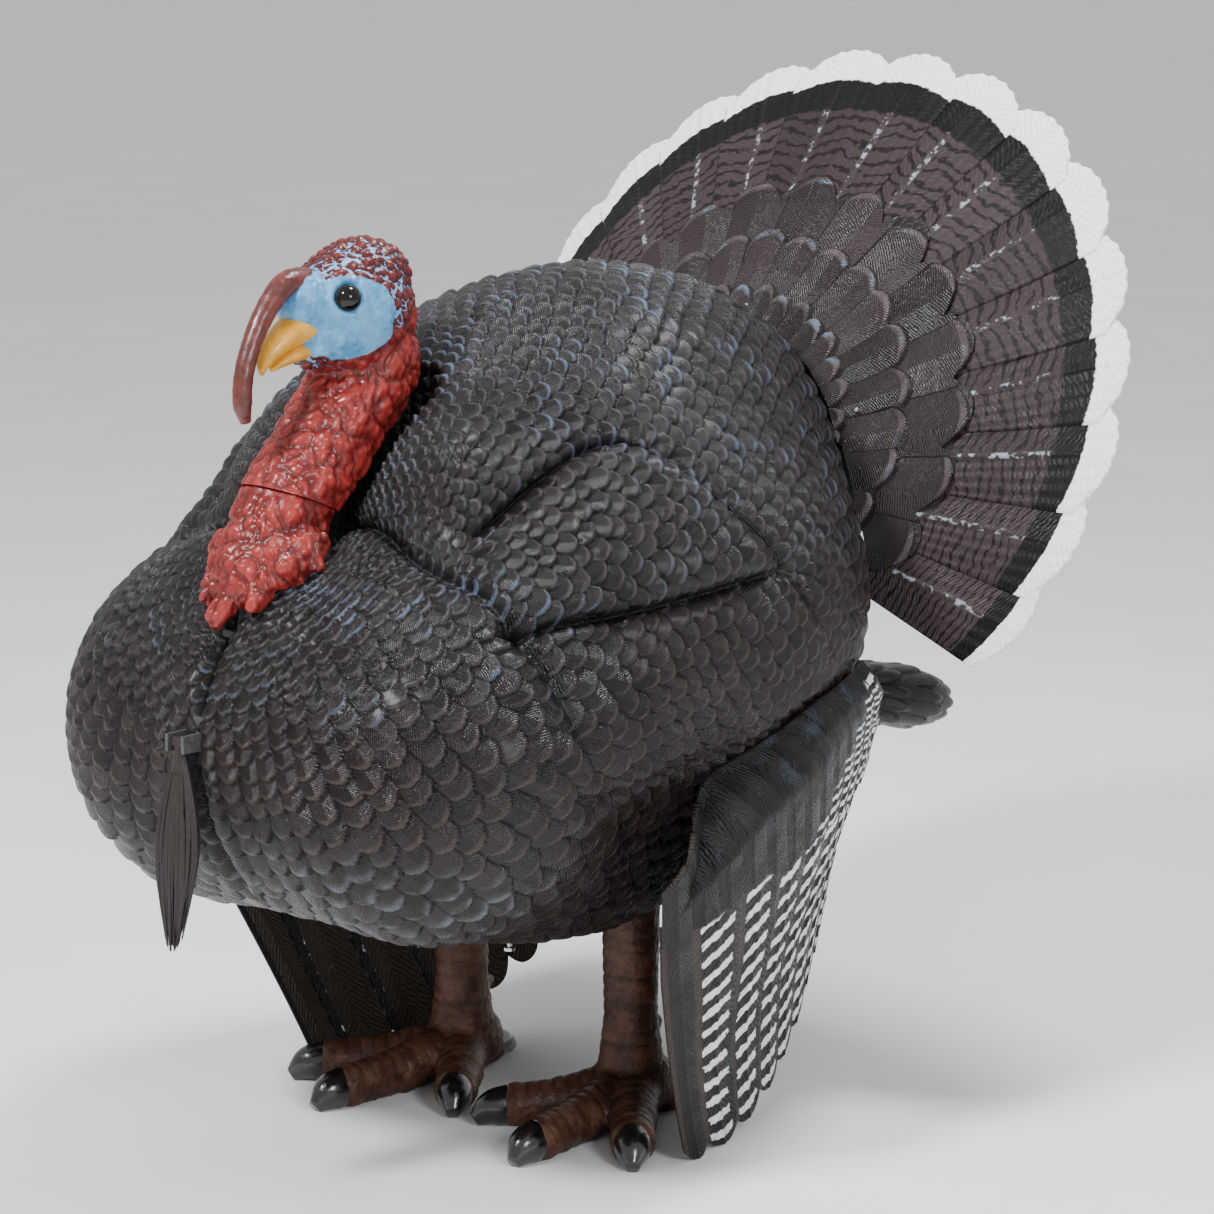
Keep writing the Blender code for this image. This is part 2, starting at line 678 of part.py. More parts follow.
def surface_level(x, forward):
    """Height along the neck's axis at which a line beside it leaves the breast."""
    low = collar_level()
    start = neck_point(low, x, forward)
    return last_crossing(np.array(start), np.array([neck_axis()]))[0] + low


def collar_seat(x):
    """Height at which a screw head clears the breast all round."""
    return max(surface_level(x + dx, dy) for dx, dy in HEAD_SPOTS) + 5 * GAP


def collar_screws():
    for number, x in enumerate((COLLAR_SCREW, -COLLAR_SCREW), 1):
        seat, end = neck_point(collar_seat(x), x), neck_point(collar_level() - 0.0030, x)
        screw(f"collar_screw_{number}", seat, end)


def neck_bib():
    """The fixed skirt of wattles at the foot of the neck, draped over the breast."""
    bm = bmesh.new()
    add_rod(bm, NECK_FOOT, (0.0, -0.270, 0.392), NECK_RADIUS, 0.0360, 20)
    add_rod(bm, Vector(NECK_FOOT).lerp(NECK_TOP, 0.3), NECK_FOOT, NECK_RADIUS, None, 20)
    add_ball(bm, NECK_FOOT, (NECK_RADIUS,) * 3)
    add_ball(bm, (0.0, -0.284, 0.397), (0.027, 0.024, 0.022))
    for side in (1, -1):
        add_ball(bm, (0.024 * side, -0.266, 0.405), (0.022, 0.026, 0.024))
        add_ball(bm, (0.028 * side, -0.240, 0.424), (0.014, 0.020, 0.022))
    bib = part("neck_bib", bm, "skin_red")
    merge_lumps(bib, 0.004, 0.10)
    boolean(bib, body_solid("bib_bed", BED))
    cut_rod(bib, neck_point(-GAP / 2), neck_point(0.1), 0.08, 24)
    cut_rod(bib, neck_point(0.05), neck_point(-0.2), SPIGOT_RADIUS + 0.0008, 24)
    cut_rod(bib, neck_point(-0.0385), neck_point(-0.2), SPIGOT_RADIUS + 0.0055, 24)
    for x in (COLLAR_SCREW, -COLLAR_SCREW):
        top = collar_seat(x) + HEAD_THICKNESS + 2 * GAP
        cut_rod(bib, neck_point(top, x), neck_point(-0.2, x), HEAD_RADIUS + 0.0010, 12)
    smooth(bib, 60)


def head_and_neck():
    bm = bmesh.new()
    for centre, radii in HEAD_LUMPS:
        add_ball(bm, centre, radii)
    add_rod(bm, (0.0, -0.215, 0.552), (0.0, -0.261, 0.5265), 0.0145, 0.0035)
    add_rod(bm, (0.0, -0.208, 0.536), (0.0, -0.251, 0.5215), 0.0120, 0.0035)
    add_rod(bm, NECK_TOP, NECK_FOOT, 0.0330, NECK_RADIUS, 20)
    head = part("head_and_neck", bm, "skin_red")
    merge_lumps(head, 0.004, 0.08)
    cut_rod(head, neck_point(GAP / 2), neck_point(-0.1), 0.08, 24)
    bm = bmesh.new()
    add_rod(bm, neck_point(0.020), neck_point(spigot_end()), SPIGOT_RADIUS, segments=24)
    boolean(head, cutter("spigot", bm), "UNION")
    cut_rod(head, (0.0, -0.205, 0.5690), (0.0, -0.252, 0.5850), SNOOD_RADIUS + 0.0012, 16)
    cut_rod(head, (0.0, -0.234, 0.5860), (0.0, -0.265, 0.5540), SNOOD_RADIUS + 0.0012, 16)
    for side in (1, -1):
        bm = bmesh.new()
        add_ball(bm, (EYE[0] * side, EYE[1], EYE[2]), (EYE_RADIUS + 2 * GAP,) * 3, 14)
        boolean(head, cutter("eye_socket", bm))
    smooth(head, 60)


def spigot_end():
    return collar_level() - 0.0125


def eyes():
    for side_name, side in both_sides():
        bm = bmesh.new()
        add_ball(bm, (EYE[0] * side, EYE[1], EYE[2]), (EYE_RADIUS,) * 3, 14)
        smooth(part(f"eye_{side_name}", bm, "eye_black"))


def tube(name, path, radius, tips, finish):
    """A bevelled curve along a path, its ends drawn in to a share of the radius."""
    curve = bpy.data.curves.new(name, "CURVE")
    curve.dimensions = "3D"
    curve.bevel_depth = radius
    curve.bevel_resolution = 2
    curve.use_fill_caps = True
    line = curve.splines.new("POLY")
    line.points.add(len(path) - 1)
    for place, point, share in zip(path, line.points, tips):
        point.co = (*place, 1.0)
        point.radius = share
    source = bpy.data.objects.new(name + "_curve", curve)
    PARTS.objects.link(source)
    bpy.context.view_layer.update()
    graph = bpy.context.evaluated_depsgraph_get()
    mesh = bpy.data.meshes.new_from_object(source.evaluated_get(graph))
    bpy.data.objects.remove(source)
    bm = bmesh.new()
    bm.from_mesh(mesh)
    bmesh.ops.remove_doubles(bm, verts=bm.verts, dist=0.00001)
    bmesh.ops.recalc_face_normals(bm, faces=bm.faces)
    made = part(name, bm, finish)
    smooth(made)
    return made


def snood():
    tube("snood", SNOOD_PATH, SNOOD_RADIUS, (0.9, 1.0, 1.0, 1.0, 1.0, 0.95, 0.55), "skin_red")


def head_retainers():
    under = collar_level() - 0.004 - GAP
    down = -neck_axis()
    ring("head_wave_washer", neck_point(under), down, SPIGOT_RADIUS + 0.0006, 0.0185, 0.0012,
         segments=24, hole=24)
    ring("head_retainer", neck_point(under - 0.0012 - GAP), down, SPIGOT_RADIUS + GAP, 0.0200, 0.0035,
         "inner_plastic", segments=24, hole=24)


# ---------------------------------------------------------------- tail fan
def rump_exit(angle, lift=0.0):
    """Distance from the fan's apex at which a feather's line comes out of the rump."""
    start, end = fan_surface(angle, 0.0, lift), fan_surface(angle, 1.0, lift)
    return last_crossing(np.array(start), np.array([(end - start).normalized()]))[0]


def share_at(angle, beyond_rump, lift=0.0):
    length = (fan_rim(angle) - Vector(FAN_APEX)).length
    return (rump_exit(angle, lift) + beyond_rump) / length


def lobe(angle, lobes):
    """From -1 to 1 across each of the lobes that share the fan's spread."""
    pitch = 2 * FAN_SPREAD / lobes
    return 2 * (((angle + FAN_SPREAD) / pitch) % 1.0) - 1


def fan_sheet(name, columns, rows, inner, outer, lift, thickness, spread=FAN_SPREAD):
    """A sheet of the fan between two shares, which are functions of the angle."""
    bm = bmesh.new()
    bmesh.ops.create_grid(bm, x_segments=columns, y_segments=rows, size=0.5)
    bounds = {}
    for vert in bm.verts:
        angle = vert.co.x * 2 * spread
        key = round(angle, 3)
        if key not in bounds:
            bounds[key] = (inner(angle), outer(angle))
        low, high = bounds[key]
        vert.co = fan_surface(angle, low + (high - low) * (vert.co.y + 0.5), lift)
    bmesh.ops.recalc_face_normals(bm, faces=bm.faces)
    made = part(name, bm, "tail_brown")
    skin = made.modifiers.new("thickness", "SOLIDIFY")
    skin.thickness = thickness
    skin.offset = 0.0
    skin.use_rim = True
    bake(made)
    return made


def tail_fan():
    made = fan_sheet(
        "tail_fan", FAN_FEATHERS * 3, 3, lambda angle: share_at(angle, 0.010),
        lambda angle: 1.0 - TIP_ROUNDING * lobe(angle, FAN_FEATHERS) ** 2, 0.0, FAN_THICKNESS)
    for angle in FAN_SCREW_ANGLES:
        start, end = fan_screw_line(angle, -0.02, 0.02)
        cut_rod(made, start, end, SCREW_RADIUS + GAP, 12)
    smooth(made)


def fan_screw_line(angle, low, high):
    share = share_at(angle, FAN_SCREW_BEYOND)
    return fan_surface(angle, share, low), fan_surface(angle, share, high)


def upper_tail_coverts():
    made = fan_sheet(
        "upper_tail_coverts", COVERT_LOBES * 3, 2, lambda angle: share_at(angle, 0.0090, 1.6 * COVERT_LIFT),
        lambda angle: COVERT_SHARE - TIP_ROUNDING * lobe(angle, COVERT_LOBES) ** 2,
        COVERT_LIFT, COVERT_THICKNESS, FAN_SPREAD - 6)
    for angle in FAN_SCREW_ANGLES:
        start, end = fan_screw_line(angle, -0.02, 0.0085)
        cut_rod(made, start, end, SCREW_RADIUS + 0.0003, 12)
    smooth(made)


def hub_place(angle, share):
    """A point of the hub's middle surface: a rim under the fan, and a bowed web to its centre."""
    if share > HUB_RIM_SHARE:
        across = (share - HUB_RIM_SHARE) / (1 - HUB_RIM_SHARE)
        return fan_surface(angle, share_at(angle, 0.014 + 0.020 * across), HUB_LIFT)
    share /= HUB_RIM_SHARE
    turn = math.radians(angle)
    middle = Vector(FAN_HUB) + Vector((math.sin(turn), 0.0, math.cos(turn))) * 0.020
    edge = fan_surface(angle, share_at(angle, 0.014), HUB_LIFT)
    return middle.lerp(edge, share) + Vector((0.0, HUB_BOW * 4 * share * (1 - share), 0.0))


def fan_hub():
    """The dished plate behind the rump that carries the fan and its pivot lug."""
    columns, rows = 20, 4
    spread = FAN_SPREAD - 8
    bm = bmesh.new()
    bmesh.ops.create_grid(bm, x_segments=columns, y_segments=rows, size=0.5)
    for vert in bm.verts:
        vert.co = hub_place(vert.co.x * 2 * spread, vert.co.y + 0.5)
    bmesh.ops.recalc_face_normals(bm, faces=bm.faces)
    hub = part("fan_hub", bm, "inner_plastic")
    skin = hub.modifiers.new("thickness", "SOLIDIFY")
    skin.thickness = 0.0035
    skin.offset = 0.0
    skin.use_rim = True
    bake(hub)
    pivot = Vector(FAN_PIVOT)
    half = EAR_INNER - 2 * GAP
    bm = bmesh.new()
    add_box(bm, (-half, pivot.y - 0.007, pivot.z), (half, pivot.y + 0.007, FAN_HUB[2] + 0.030))
    boolean(hub, cutter("lug", bm), "UNION")
    bm = bmesh.new()
    add_rod(bm, pivot - Vector((half, 0, 0)), pivot + Vector((half, 0, 0)), 0.009, segments=20)
    boolean(hub, cutter("lug_boss", bm), "UNION")
    cut_rod(hub, pivot - Vector((0.1, 0, 0)), pivot + Vector((0.1, 0, 0)), PIN_RADIUS + 0.0003, 16)
    for angle in FAN_SCREW_ANGLES:
        start, end = fan_screw_line(angle, FAN_SCREW_SEAT, HUB_LIFT + 0.0015)
        bm = bmesh.new()
        add_rod(bm, start, end, 0.0055, segments=12)
        boolean(hub, cutter("seat", bm), "UNION")
        start, end = fan_screw_line(angle, -0.04, 0.02)
        cut_rod(hub, start, end, SCREW_RADIUS + GAP, 12)
    smooth(hub)


def fan_screws():
    for number, angle in enumerate(FAN_SCREW_ANGLES, 1):
        start, end = fan_screw_line(angle, FAN_SCREW_SEAT - GAP, 0.0075)
        screw(f"fan_screw_{number}", start, end)


# ---------------------------------------------------------------- fan bracket and pivot


def rear_depth(x, z):
    return body_point((x, 0.08, z), (0, 1, 0)).y


def fan_bracket():
    """A saddle on the rump with two ears for the fan's pivot pin."""
    pivot = Vector(FAN_PIVOT)
    bm = bmesh.new()
    add_box(bm, (-BRACKET_HALF, 0.15, pivot.z - 0.024), (BRACKET_HALF, BRACKET_BACK, pivot.z + 0.018))
    bracket = part("fan_bracket", bm, "inner_plastic")
    for side in (1, -1):
        low, high = sorted((EAR_INNER * side, EAR_OUTER * side))
        bm = bmesh.new()
        add_box(bm, (low, 0.2, pivot.z - 0.010), (high, pivot.y, pivot.z + 0.010))
        boolean(bracket, cutter("ear", bm), "UNION")
        bm = bmesh.new()
        add_rod(bm, (low, pivot.y, pivot.z), (high, pivot.y, pivot.z), 0.010, segments=24)
        boolean(bracket, cutter("ear_end", bm), "UNION")
    boolean(bracket, body_solid("bracket_bed", BED))
    cut_rod(bracket, pivot - Vector((0.1, 0, 0)), pivot + Vector((0.1, 0, 0)), PIN_RADIUS + 0.0003, 16)
    x, z = BRACKET_SCREW
    for side in (1, -1):
        cut_rod(bracket, (x * side, 0.1, z), (x * side, 0.3, z), SCREW_RADIUS + GAP, 10)
    smooth(bracket)


def backing_level():
    x, low, high = BRACKET_HALF, FAN_PIVOT[2] - 0.010, FAN_PIVOT[2] + 0.010
    return min(rear_depth(*place) for place in ((x, low), (x, high), (0, low), (0, high))) - 2.0 * WALL


def bracket_fixings():
    back = backing_level()
    bm = bmesh.new()
    add_box(bm, (-BRACKET_HALF, back - 0.003, FAN_PIVOT[2] - 0.010),
            (BRACKET_HALF, back, FAN_PIVOT[2] + 0.010))
    plate = part("bracket_backing_plate", bm, "plated_steel")
    x, z = BRACKET_SCREW
    for number, across in enumerate((x, -x), 1):
        cut_rod(plate, (across, 0.1, z), (across, 0.3, z), SCREW_RADIUS + 0.0003, 10)
        screw(f"bracket_screw_{number}", (across, BRACKET_BACK + GAP, z), (across, back - 0.008, z))
    smooth(plate)
    reach = EAR_OUTER + 0.0045
    pivot = Vector(FAN_PIVOT)
    bm = bmesh.new()
    add_rod(bm, pivot - Vector((reach, 0, 0)), pivot + Vector((reach, 0, 0)), PIN_RADIUS, segments=16)
    smooth(part("fan_pivot_pin", bm, "plated_steel"))
    for side_name, side in both_sides():
        start = pivot + Vector(((EAR_OUTER + GAP) * side, 0, 0))
        ring(f"pivot_clip_{side_name}", start, (side, 0, 0), PIN_RADIUS + 0.0003, 0.0065, 0.0015)


# ---------------------------------------------------------------- undertail coverts


def undertail_coverts():
    """The bunch of feathers under the tail, pegged to the back of the shells."""
    bm = bmesh.new()
    for x, y in TUFT_LOBES:
        for side in (1, -1) if x else (1,):
            add_ball(bm, (x * side, y, 0.272 - 0.35 * (y - 0.2)), (0.034, 0.052, 0.022),
                     turn=Matrix.Rotation(math.radians(-12), 4, "X"))
    add_box(bm, (-0.060, 0.180, 0.256), (0.060, 0.235, 0.278))
    tuft = part("undertail_coverts", bm, "feather_brown")
    merge_lumps(tuft, 0.006, 0.07)
    boolean(tuft, body_solid("tuft_bed", BED))
    z = TUFT_PEG[1]
    for number, x in enumerate((TUFT_PEG[0], -TUFT_PEG[0]), 1):
        place = min(rear_depth(x + dx, z + dz) for dx, dz in NUT_SPOTS) - 2.4 * WALL
        bm = bmesh.new()
        add_rod(bm, (x, place - 0.006, z), (x, 0.235, z), PEG_RADIUS, segments=12)
        boolean(tuft, cutter("tuft_peg", bm), "UNION")
        ring(f"tuft_push_nut_{number}", (x, place, z), (0, -1, 0), PEG_RADIUS + GAP, 0.0085, 0.0015)
    smooth(tuft, 60)


# ---------------------------------------------------------------- beard


def beard_hanger():
    """A small U bracket whose base is inside the breast and whose ears pass out at the seam."""
    pivot = Vector(BEARD_PIVOT)
    corners = ((x, z) for x in (0.0, 0.014) for z in (pivot.z - 0.014, pivot.z, pivot.z + 0.014))
    back = max(body_point((x, -0.1, z), (0, -1, 0)).y for x, z in corners) + 1.8 * WALL
    bm = bmesh.new()
    add_box(bm, (-0.0140, back, pivot.z - 0.014), (0.0140, back + 0.003, pivot.z + 0.014))
    hanger = part("beard_hanger", bm, "inner_plastic")
    for side in (1, -1):
        low, high = sorted((HANGER_HALF * side, (HANGER_HALF + 0.0025) * side))
        bm = bmesh.new()
        add_box(bm, (low, pivot.y - 0.0055, pivot.z - 0.0055), (high, back + 0.0015, pivot.z + 0.0055))
        boolean(hanger, cutter("hanger_ear", bm), "UNION")
    cut_rod(hanger, pivot - Vector((0.1, 0, 0)), pivot + Vector((0.1, 0, 0)), 0.0016, 12)
    smooth(hanger)
    bm = bmesh.new()
    add_rod(bm, pivot - Vector((0.0082, 0, 0)), pivot + Vector((0.0082, 0, 0)), 0.0012, segments=12)
    smooth(part("beard_pin", bm, "plated_steel"))


def beard_clip():
    pivot = Vector(BEARD_PIVOT)
    half = HANGER_HALF - 2 * GAP
    bm = bmesh.new()
    add_rod(bm, pivot - Vector((half, 0, 0)), pivot + Vector((half, 0, 0)), 0.0038, segments=20)
    clip = part("beard_clip", bm, "beard_black")
    lean = beard_lean()
    bm = bmesh.new()
    add_rod(bm, pivot, pivot + lean * 0.0180, 0.0037, 0.0054, 20)
    boolean(clip, cutter("sleeve", bm), "UNION")
    cut_rod(clip, pivot + lean * 0.0075, pivot + lean * 0.03, 0.0043, 16)
    cut_rod(clip, pivot - Vector((0.1, 0, 0)), pivot + Vector((0.1, 0, 0)), 0.0016, 12)
    smooth(clip)


def beard_lean():
    return (Vector(BEARD_TIP) - Vector(BEARD_PIVOT)).normalized()


def beard():
    pivot, lean = Vector(BEARD_PIVOT), beard_lean()
    ahead = lean.cross(Vector((1, 0, 0))).normalized()
    length = (Vector(BEARD_TIP) - pivot).length
    turn = Matrix((Vector((1, 0, 0)), ahead, lean)).transposed().to_4x4()
    bm = bmesh.new()
    for share, wide, deep in BEARD_LUMPS:
        add_ball(bm, pivot + lean * length * share, (wide, deep, length * 0.15), turn=turn)
    made = part("beard", bm, "beard_black")
    merge_lumps(made, 0.003, 0.20)
    bm = bmesh.new()
    add_rod(bm, pivot + lean * 0.0080, pivot + lean * 0.040, 0.0038, segments=16)
    boolean(made, cutter("beard_root", bm), "UNION")
    smooth(made, 60)


# ---------------------------------------------------------------- assembly
HEAD_PIECES = ("head_and_neck", "snood", "eye_left", "eye_right", "head_wave_washer", "head_retainer")
FAN_PIECES = ("tail_fan", "upper_tail_coverts", "fan_hub", "fan_screw_1", "fan_screw_2", "fan_screw_3")
BEARD_PIECES = ("beard", "beard_clip")


def place_on_axes():
    """Hangs every piece on the bird's datum, and each moving piece on an empty on its joint."""
    datum = bpy.data.objects.new("datum", None)
    PARTS.objects.link(datum)
    axes = {}
    joints = (("head_turn_axis", NECK_JOINT, HEAD_PIECES), ("fan_tilt_axis", FAN_PIVOT, FAN_PIECES),
              ("beard_swing_axis", BEARD_PIVOT, BEARD_PIECES))
    for name, place, pieces in joints:
        axis = bpy.data.objects.new(name, None)
        axis.location = place
        axis.parent = datum
        PARTS.objects.link(axis)
        axes.update({piece: axis for piece in pieces})
    for piece in list(PARTS.objects):
        if piece.type != "MESH":
            continue
        axis = axes.get(piece.name)
        piece.parent = axis or datum
        if axis:
            piece.location = -axis.location
    datum.location = (0.0, FRAME_SHIFT_Y, 0.0)


def build():
    body_shells()
    belly_chassis()
    chassis_screws()
    stake_socket()
    legs()
    leg_fixings()
    wings()
    wing_push_nuts()
    neck_collar()
    collar_screws()
    neck_bib()
    head_and_neck()
    eyes()
    snood()
    head_retainers()
    tail_fan()
    upper_tail_coverts()
    fan_hub()
    fan_screws()
    fan_bracket()
    bracket_fixings()
    undertail_coverts()
    beard_hanger()
    beard_clip()
    beard()
    place_on_axes()


build()
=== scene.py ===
"""Looks of the turkey decoy, a strutting tom: feathered skins, painted feathers, wattled head and
scaled feet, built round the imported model.

Shapes are written from the datum of the model's own dimensions, on the ground midway between the
legs, and place() moves them into the row frame. Metres, +Z up, the bird faces -Y.
"""

import math

import bmesh
import bpy
import numpy as np
from mathutils import Matrix, Vector, noise
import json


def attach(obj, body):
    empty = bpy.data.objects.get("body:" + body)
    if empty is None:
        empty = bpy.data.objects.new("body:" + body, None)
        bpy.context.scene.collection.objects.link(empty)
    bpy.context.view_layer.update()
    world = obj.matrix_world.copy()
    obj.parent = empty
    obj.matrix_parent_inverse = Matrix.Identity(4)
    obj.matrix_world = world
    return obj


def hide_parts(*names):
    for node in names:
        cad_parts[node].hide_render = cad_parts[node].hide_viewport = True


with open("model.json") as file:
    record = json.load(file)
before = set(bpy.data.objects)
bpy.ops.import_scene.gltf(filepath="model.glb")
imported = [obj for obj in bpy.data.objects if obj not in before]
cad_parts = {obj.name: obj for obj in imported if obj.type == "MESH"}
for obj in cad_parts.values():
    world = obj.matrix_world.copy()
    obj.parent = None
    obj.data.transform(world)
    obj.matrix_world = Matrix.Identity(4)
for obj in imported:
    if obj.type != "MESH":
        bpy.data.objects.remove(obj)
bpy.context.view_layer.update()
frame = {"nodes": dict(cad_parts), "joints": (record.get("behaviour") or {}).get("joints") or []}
FAN_JOINT = next(joint for joint in frame["joints"] if joint["name"] == "fan_tilt")
FAN_PIN_Y = 0.262
SHIFT = FAN_JOINT["pos_m"][1] - FAN_PIN_Y

# ---------------------------------------------------------------- dimensions
BODY_CENTRE = np.array((0.0, 0.0, 0.33))
BODY_BLEND = 0.022
BODY_LUMPS = (
    ((0.000, 0.03, 0.345), (0.152, 0.205, 0.175)),
    ((0.084, -0.188, 0.288), (0.108, 0.128, 0.12)),
    ((0.000, -0.205, 0.295), (0.06, 0.118, 0.11)),
    ((0.000, 0.035, 0.452), (0.125, 0.16, 0.115)),
    ((0.052, -0.085, 0.435), (0.08, 0.12, 0.085)),
    ((0.11, -0.005, 0.35), (0.1, 0.165, 0.125)),
    ((0.04, -0.04, 0.225), (0.1, 0.135, 0.09)),
    ((0.000, 0.125, 0.415), (0.105, 0.105, 0.115)),
    ((0.000, 0.11, 0.29), (0.095, 0.11, 0.09)),
)
NECK_JOINT = np.array((0.0, -0.234, 0.45))
NECK_AXIS = np.array((0.0, math.sin(math.radians(22)), math.cos(math.radians(22))))
NECK_TOP = np.array((0.0, -0.17, 0.516))
NECK_FOOT = np.array((0.0, -0.243, 0.44))
NECK_ROOM = 0.0385
SKIRT = 0.007
SKIRT_RADIUS = 0.027
HEAD_PLACE = np.array((0.0, -0.18, 0.553))
HEAD_ROOM = 0.057
EYE = (0.024, -0.209, 0.57)
EYE_RADIUS = 0.0088
LEG_X = 0.078
TOE_TIPS = ((0.012, -0.08), (0.091, -0.13), (0.155, -0.088))
HIND_TOE_TIP = (0.09, 0.06)
FAN_APEX = np.array((0.0, 0.13, 0.427))
FAN_RIM_CENTRE = np.array((0.0, 0.266, 0.448))
FAN_RIM_RADIUS = 0.28
FAN_TILT = math.radians(25)
FAN_SPREAD = 126.0
FAN_FEATHERS = 18
WING_TOP = ((-0.135, 0.206), (-0.06, 0.262), (0.04, 0.3), (0.115, 0.312))
WING_FRONT = ((-0.135, 0.206), (-0.112, 0.14), (-0.082, 0.07), (-0.052, 0.000))
WING_REAR = ((0.115, 0.312), (0.17, 0.262), (0.176, 0.222), (0.142, 0.178), (0.152, 0.11))
WING_FOOT = ((-0.052, 0.000), (0.015, 0.001), (0.08, 0.022), (0.13, 0.055), (0.152, 0.11))
BEARD_PIVOT = np.array((0.0, -0.335, 0.304))
BEARD_TIP = np.array((0.0, -0.345, 0.168))
BRISTLES = 150
GOLDEN_ANGLE = 2.39996
ANKLE = np.array((LEG_X, 0.002, 0.024))
TOE_THICK = 0.0168
HIND_TOE_THICK = 0.012
SCUTE_PITCH = 0.0092
BODY_ROWS = 600
BODY_COLUMNS = 800
LUMP_VOXEL = 0.0016
NOISE_ROUGHNESS = 0.55
VIEW_AZIMUTH = math.radians(41.0)
VIEW_ELEVATION = math.radians(10.5)
VIEW_DISTANCE = 2.8
VIEW_AIM = (0.0, 0.065 + SHIFT, 0.333)
VIEW_LENS = 120.8
SIDES = (("left", 1), ("right", -1))


# ---------------------------------------------------------------- materials
class Shader:
    """A Principled material and short ways to feed it."""

    def __init__(self, name, roughness=0.5, **sockets):
        self.material = bpy.data.materials.new(name)
        self.material.use_nodes = True
        self.tree = self.material.node_tree
        self.main = self.tree.nodes["Principled BSDF"]
        self.main.inputs["Roughness"].default_value = roughness
        for socket, value in sockets.items():
            self.main.inputs[socket.replace("_", " ")].default_value = value

    def put(self, socket, value):
        if isinstance(value, bpy.types.NodeSocket):
            self.tree.links.new(value, socket)
        elif hasattr(value, "__len__") and len(value) == 3 and socket.type == "RGBA":
            socket.default_value = (*value, 1.0)
        else:
            socket.default_value = value

    def node(self, kind, *values, **settings):
        made = self.tree.nodes.new("ShaderNode" + kind)
        for key, value in settings.items():
            setattr(made, key, value)
        for socket, value in zip(made.inputs, values):
            if value is not None:
                self.put(socket, value)
        return made

    def value(self, name):
        return self.node("Attribute", attribute_name=name).outputs["Fac"]

    def texture(self, kind, output, **inputs):
        made = self.node(kind)
        self.put(made.inputs["Vector"], self.node("TexCoord").outputs["Object"])
        for key, value in inputs.items():
            made.inputs[key].default_value = value
        return made.outputs[output]

    def noise(self, scale, detail=3.0):
        return self.texture("TexNoise", "Fac", Scale=scale, Detail=detail, Roughness=NOISE_ROUGHNESS)

    def cells(self, scale):
        return self.texture("TexVoronoi", "Distance", Scale=scale)

    def calc(self, operation, *values):
        return self.node("Math", *values, operation=operation).outputs[0]

    def times(self, product, *factors):
        for factor in factors:
            product = self.calc("MULTIPLY", product, factor)
        return product

    def plus(self, first, second):
        return self.calc("ADD", first, second)

    def times_plus(self, value, factor, extra):
        return self.calc("MULTIPLY_ADD", value, factor, extra)

    def step(self, value, low, high, to=(0.0, 1.0)):
        made = self.node("MapRange", value, low, high, *to, interpolation_type="SMOOTHSTEP")
        return made.outputs[0]

    def mix(self, share, first, second):
        made = self.node("Mix", data_type="RGBA")
        colours = [socket for socket in made.inputs if socket.type == "RGBA"]
        self.put(made.inputs[0], share)
        self.put(colours[0], first)
        self.put(colours[1], second)
        return next(socket for socket in made.outputs if socket.type == "RGBA")

    def colour(self, value):
        self.put(self.main.inputs["Base Color"], value)

    def rough(self, value, low, high):
        """Roughness from low to high, following a noise value."""
        self.put(self.main.inputs["Roughness"], self.step(value, 0.3, 0.7, (low, high)))

    def bump(self, height, depth, strength=1.0):
        made = self.node("Bump")
        made.inputs["Strength"].default_value = strength
        made.inputs["Distance"].default_value = depth
        self.put(made.inputs["Height"], height)
        self.put(self.main.inputs["Normal"], made.outputs["Normal"])


def barbs(shader, along, across, fine=1.0):
    """Fine lines that run out from a feather's shaft towards its tip, from 0 to 1."""
    lean = shader.calc("ABSOLUTE", across)
    bend = shader.times(lean, 1.1)
    run = shader.calc("SUBTRACT", along, bend)
    wander = shader.times(shader.noise(180.0), 0.35)
    phase = shader.times(shader.plus(run, wander), 34.0 * fine)
    return shader.times_plus(shader.calc("SINE", phase), 0.5, 0.5)


def feather_paint():
    """Dark brown moulded feathers, with a painted blue-grey sheen on the ridges that face up, painted shade
    in the creases and a painted pale reflection on the down-facing lower breast.
    """
    s = Shader("feather_paint", 0.36, Specular_IOR_Level=0.25, Coat_Weight=0.06, Coat_Roughness=0.18)
    along, across, tone = s.value("along"), s.value("across"), s.value("tone")
    ridge, sheen, pale = s.value("ridge"), s.value("sheen"), s.value("pale")
    lines = barbs(s, along, across)
    dark = s.mix(tone, (0.0058, 0.0036, 0.0032), (0.015, 0.01, 0.0088))
    crest = s.times(s.step(ridge, 0.45, 0.95), s.step(s.noise(90.0), 0.3, 0.62, (0.25, 0.8)))
    brown = s.mix(crest, dark, (0.042, 0.0262, 0.0212))
    # Painted shade: near-black mixed into the creases between the feather tracts.
    brown = s.mix(s.value("deep"), brown, (0.0016, 0.001, 0.001))
    # Painted sheen: blue-grey painted in patches on the feather ridges, where the surface faces up.
    patch = s.step(s.noise(26.0, 4.0), 0.5, 0.64, (0.12, 1.0))
    ridge_wear_and_sheen = s.times(s.step(ridge, 0.4, 0.9), s.step(lines, 0.1, 0.9, (0.35, 1.0)))
    painted_sheen = s.times(sheen, patch, ridge_wear_and_sheen)
    blue = s.mix(s.times(sheen, 0.1), brown, (0.03, 0.048, 0.08))
    blue = s.mix(painted_sheen, blue, (0.115, 0.19, 0.3))
    # Painted reflection: pale blue-grey on the ridges of the down-facing lower breast.
    painted_reflection = s.times(pale, ridge, s.step(s.noise(70.0), 0.4, 0.7))
    s.colour(s.mix(painted_reflection, blue, (0.15, 0.19, 0.24)))
    s.rough(s.noise(60.0), 0.24, 0.4)
    relief = s.plus(s.times(lines, 0.55), s.times(s.noise(420.0), 0.45))
    s.bump(relief, 0.001, 0.6)
    return s.material


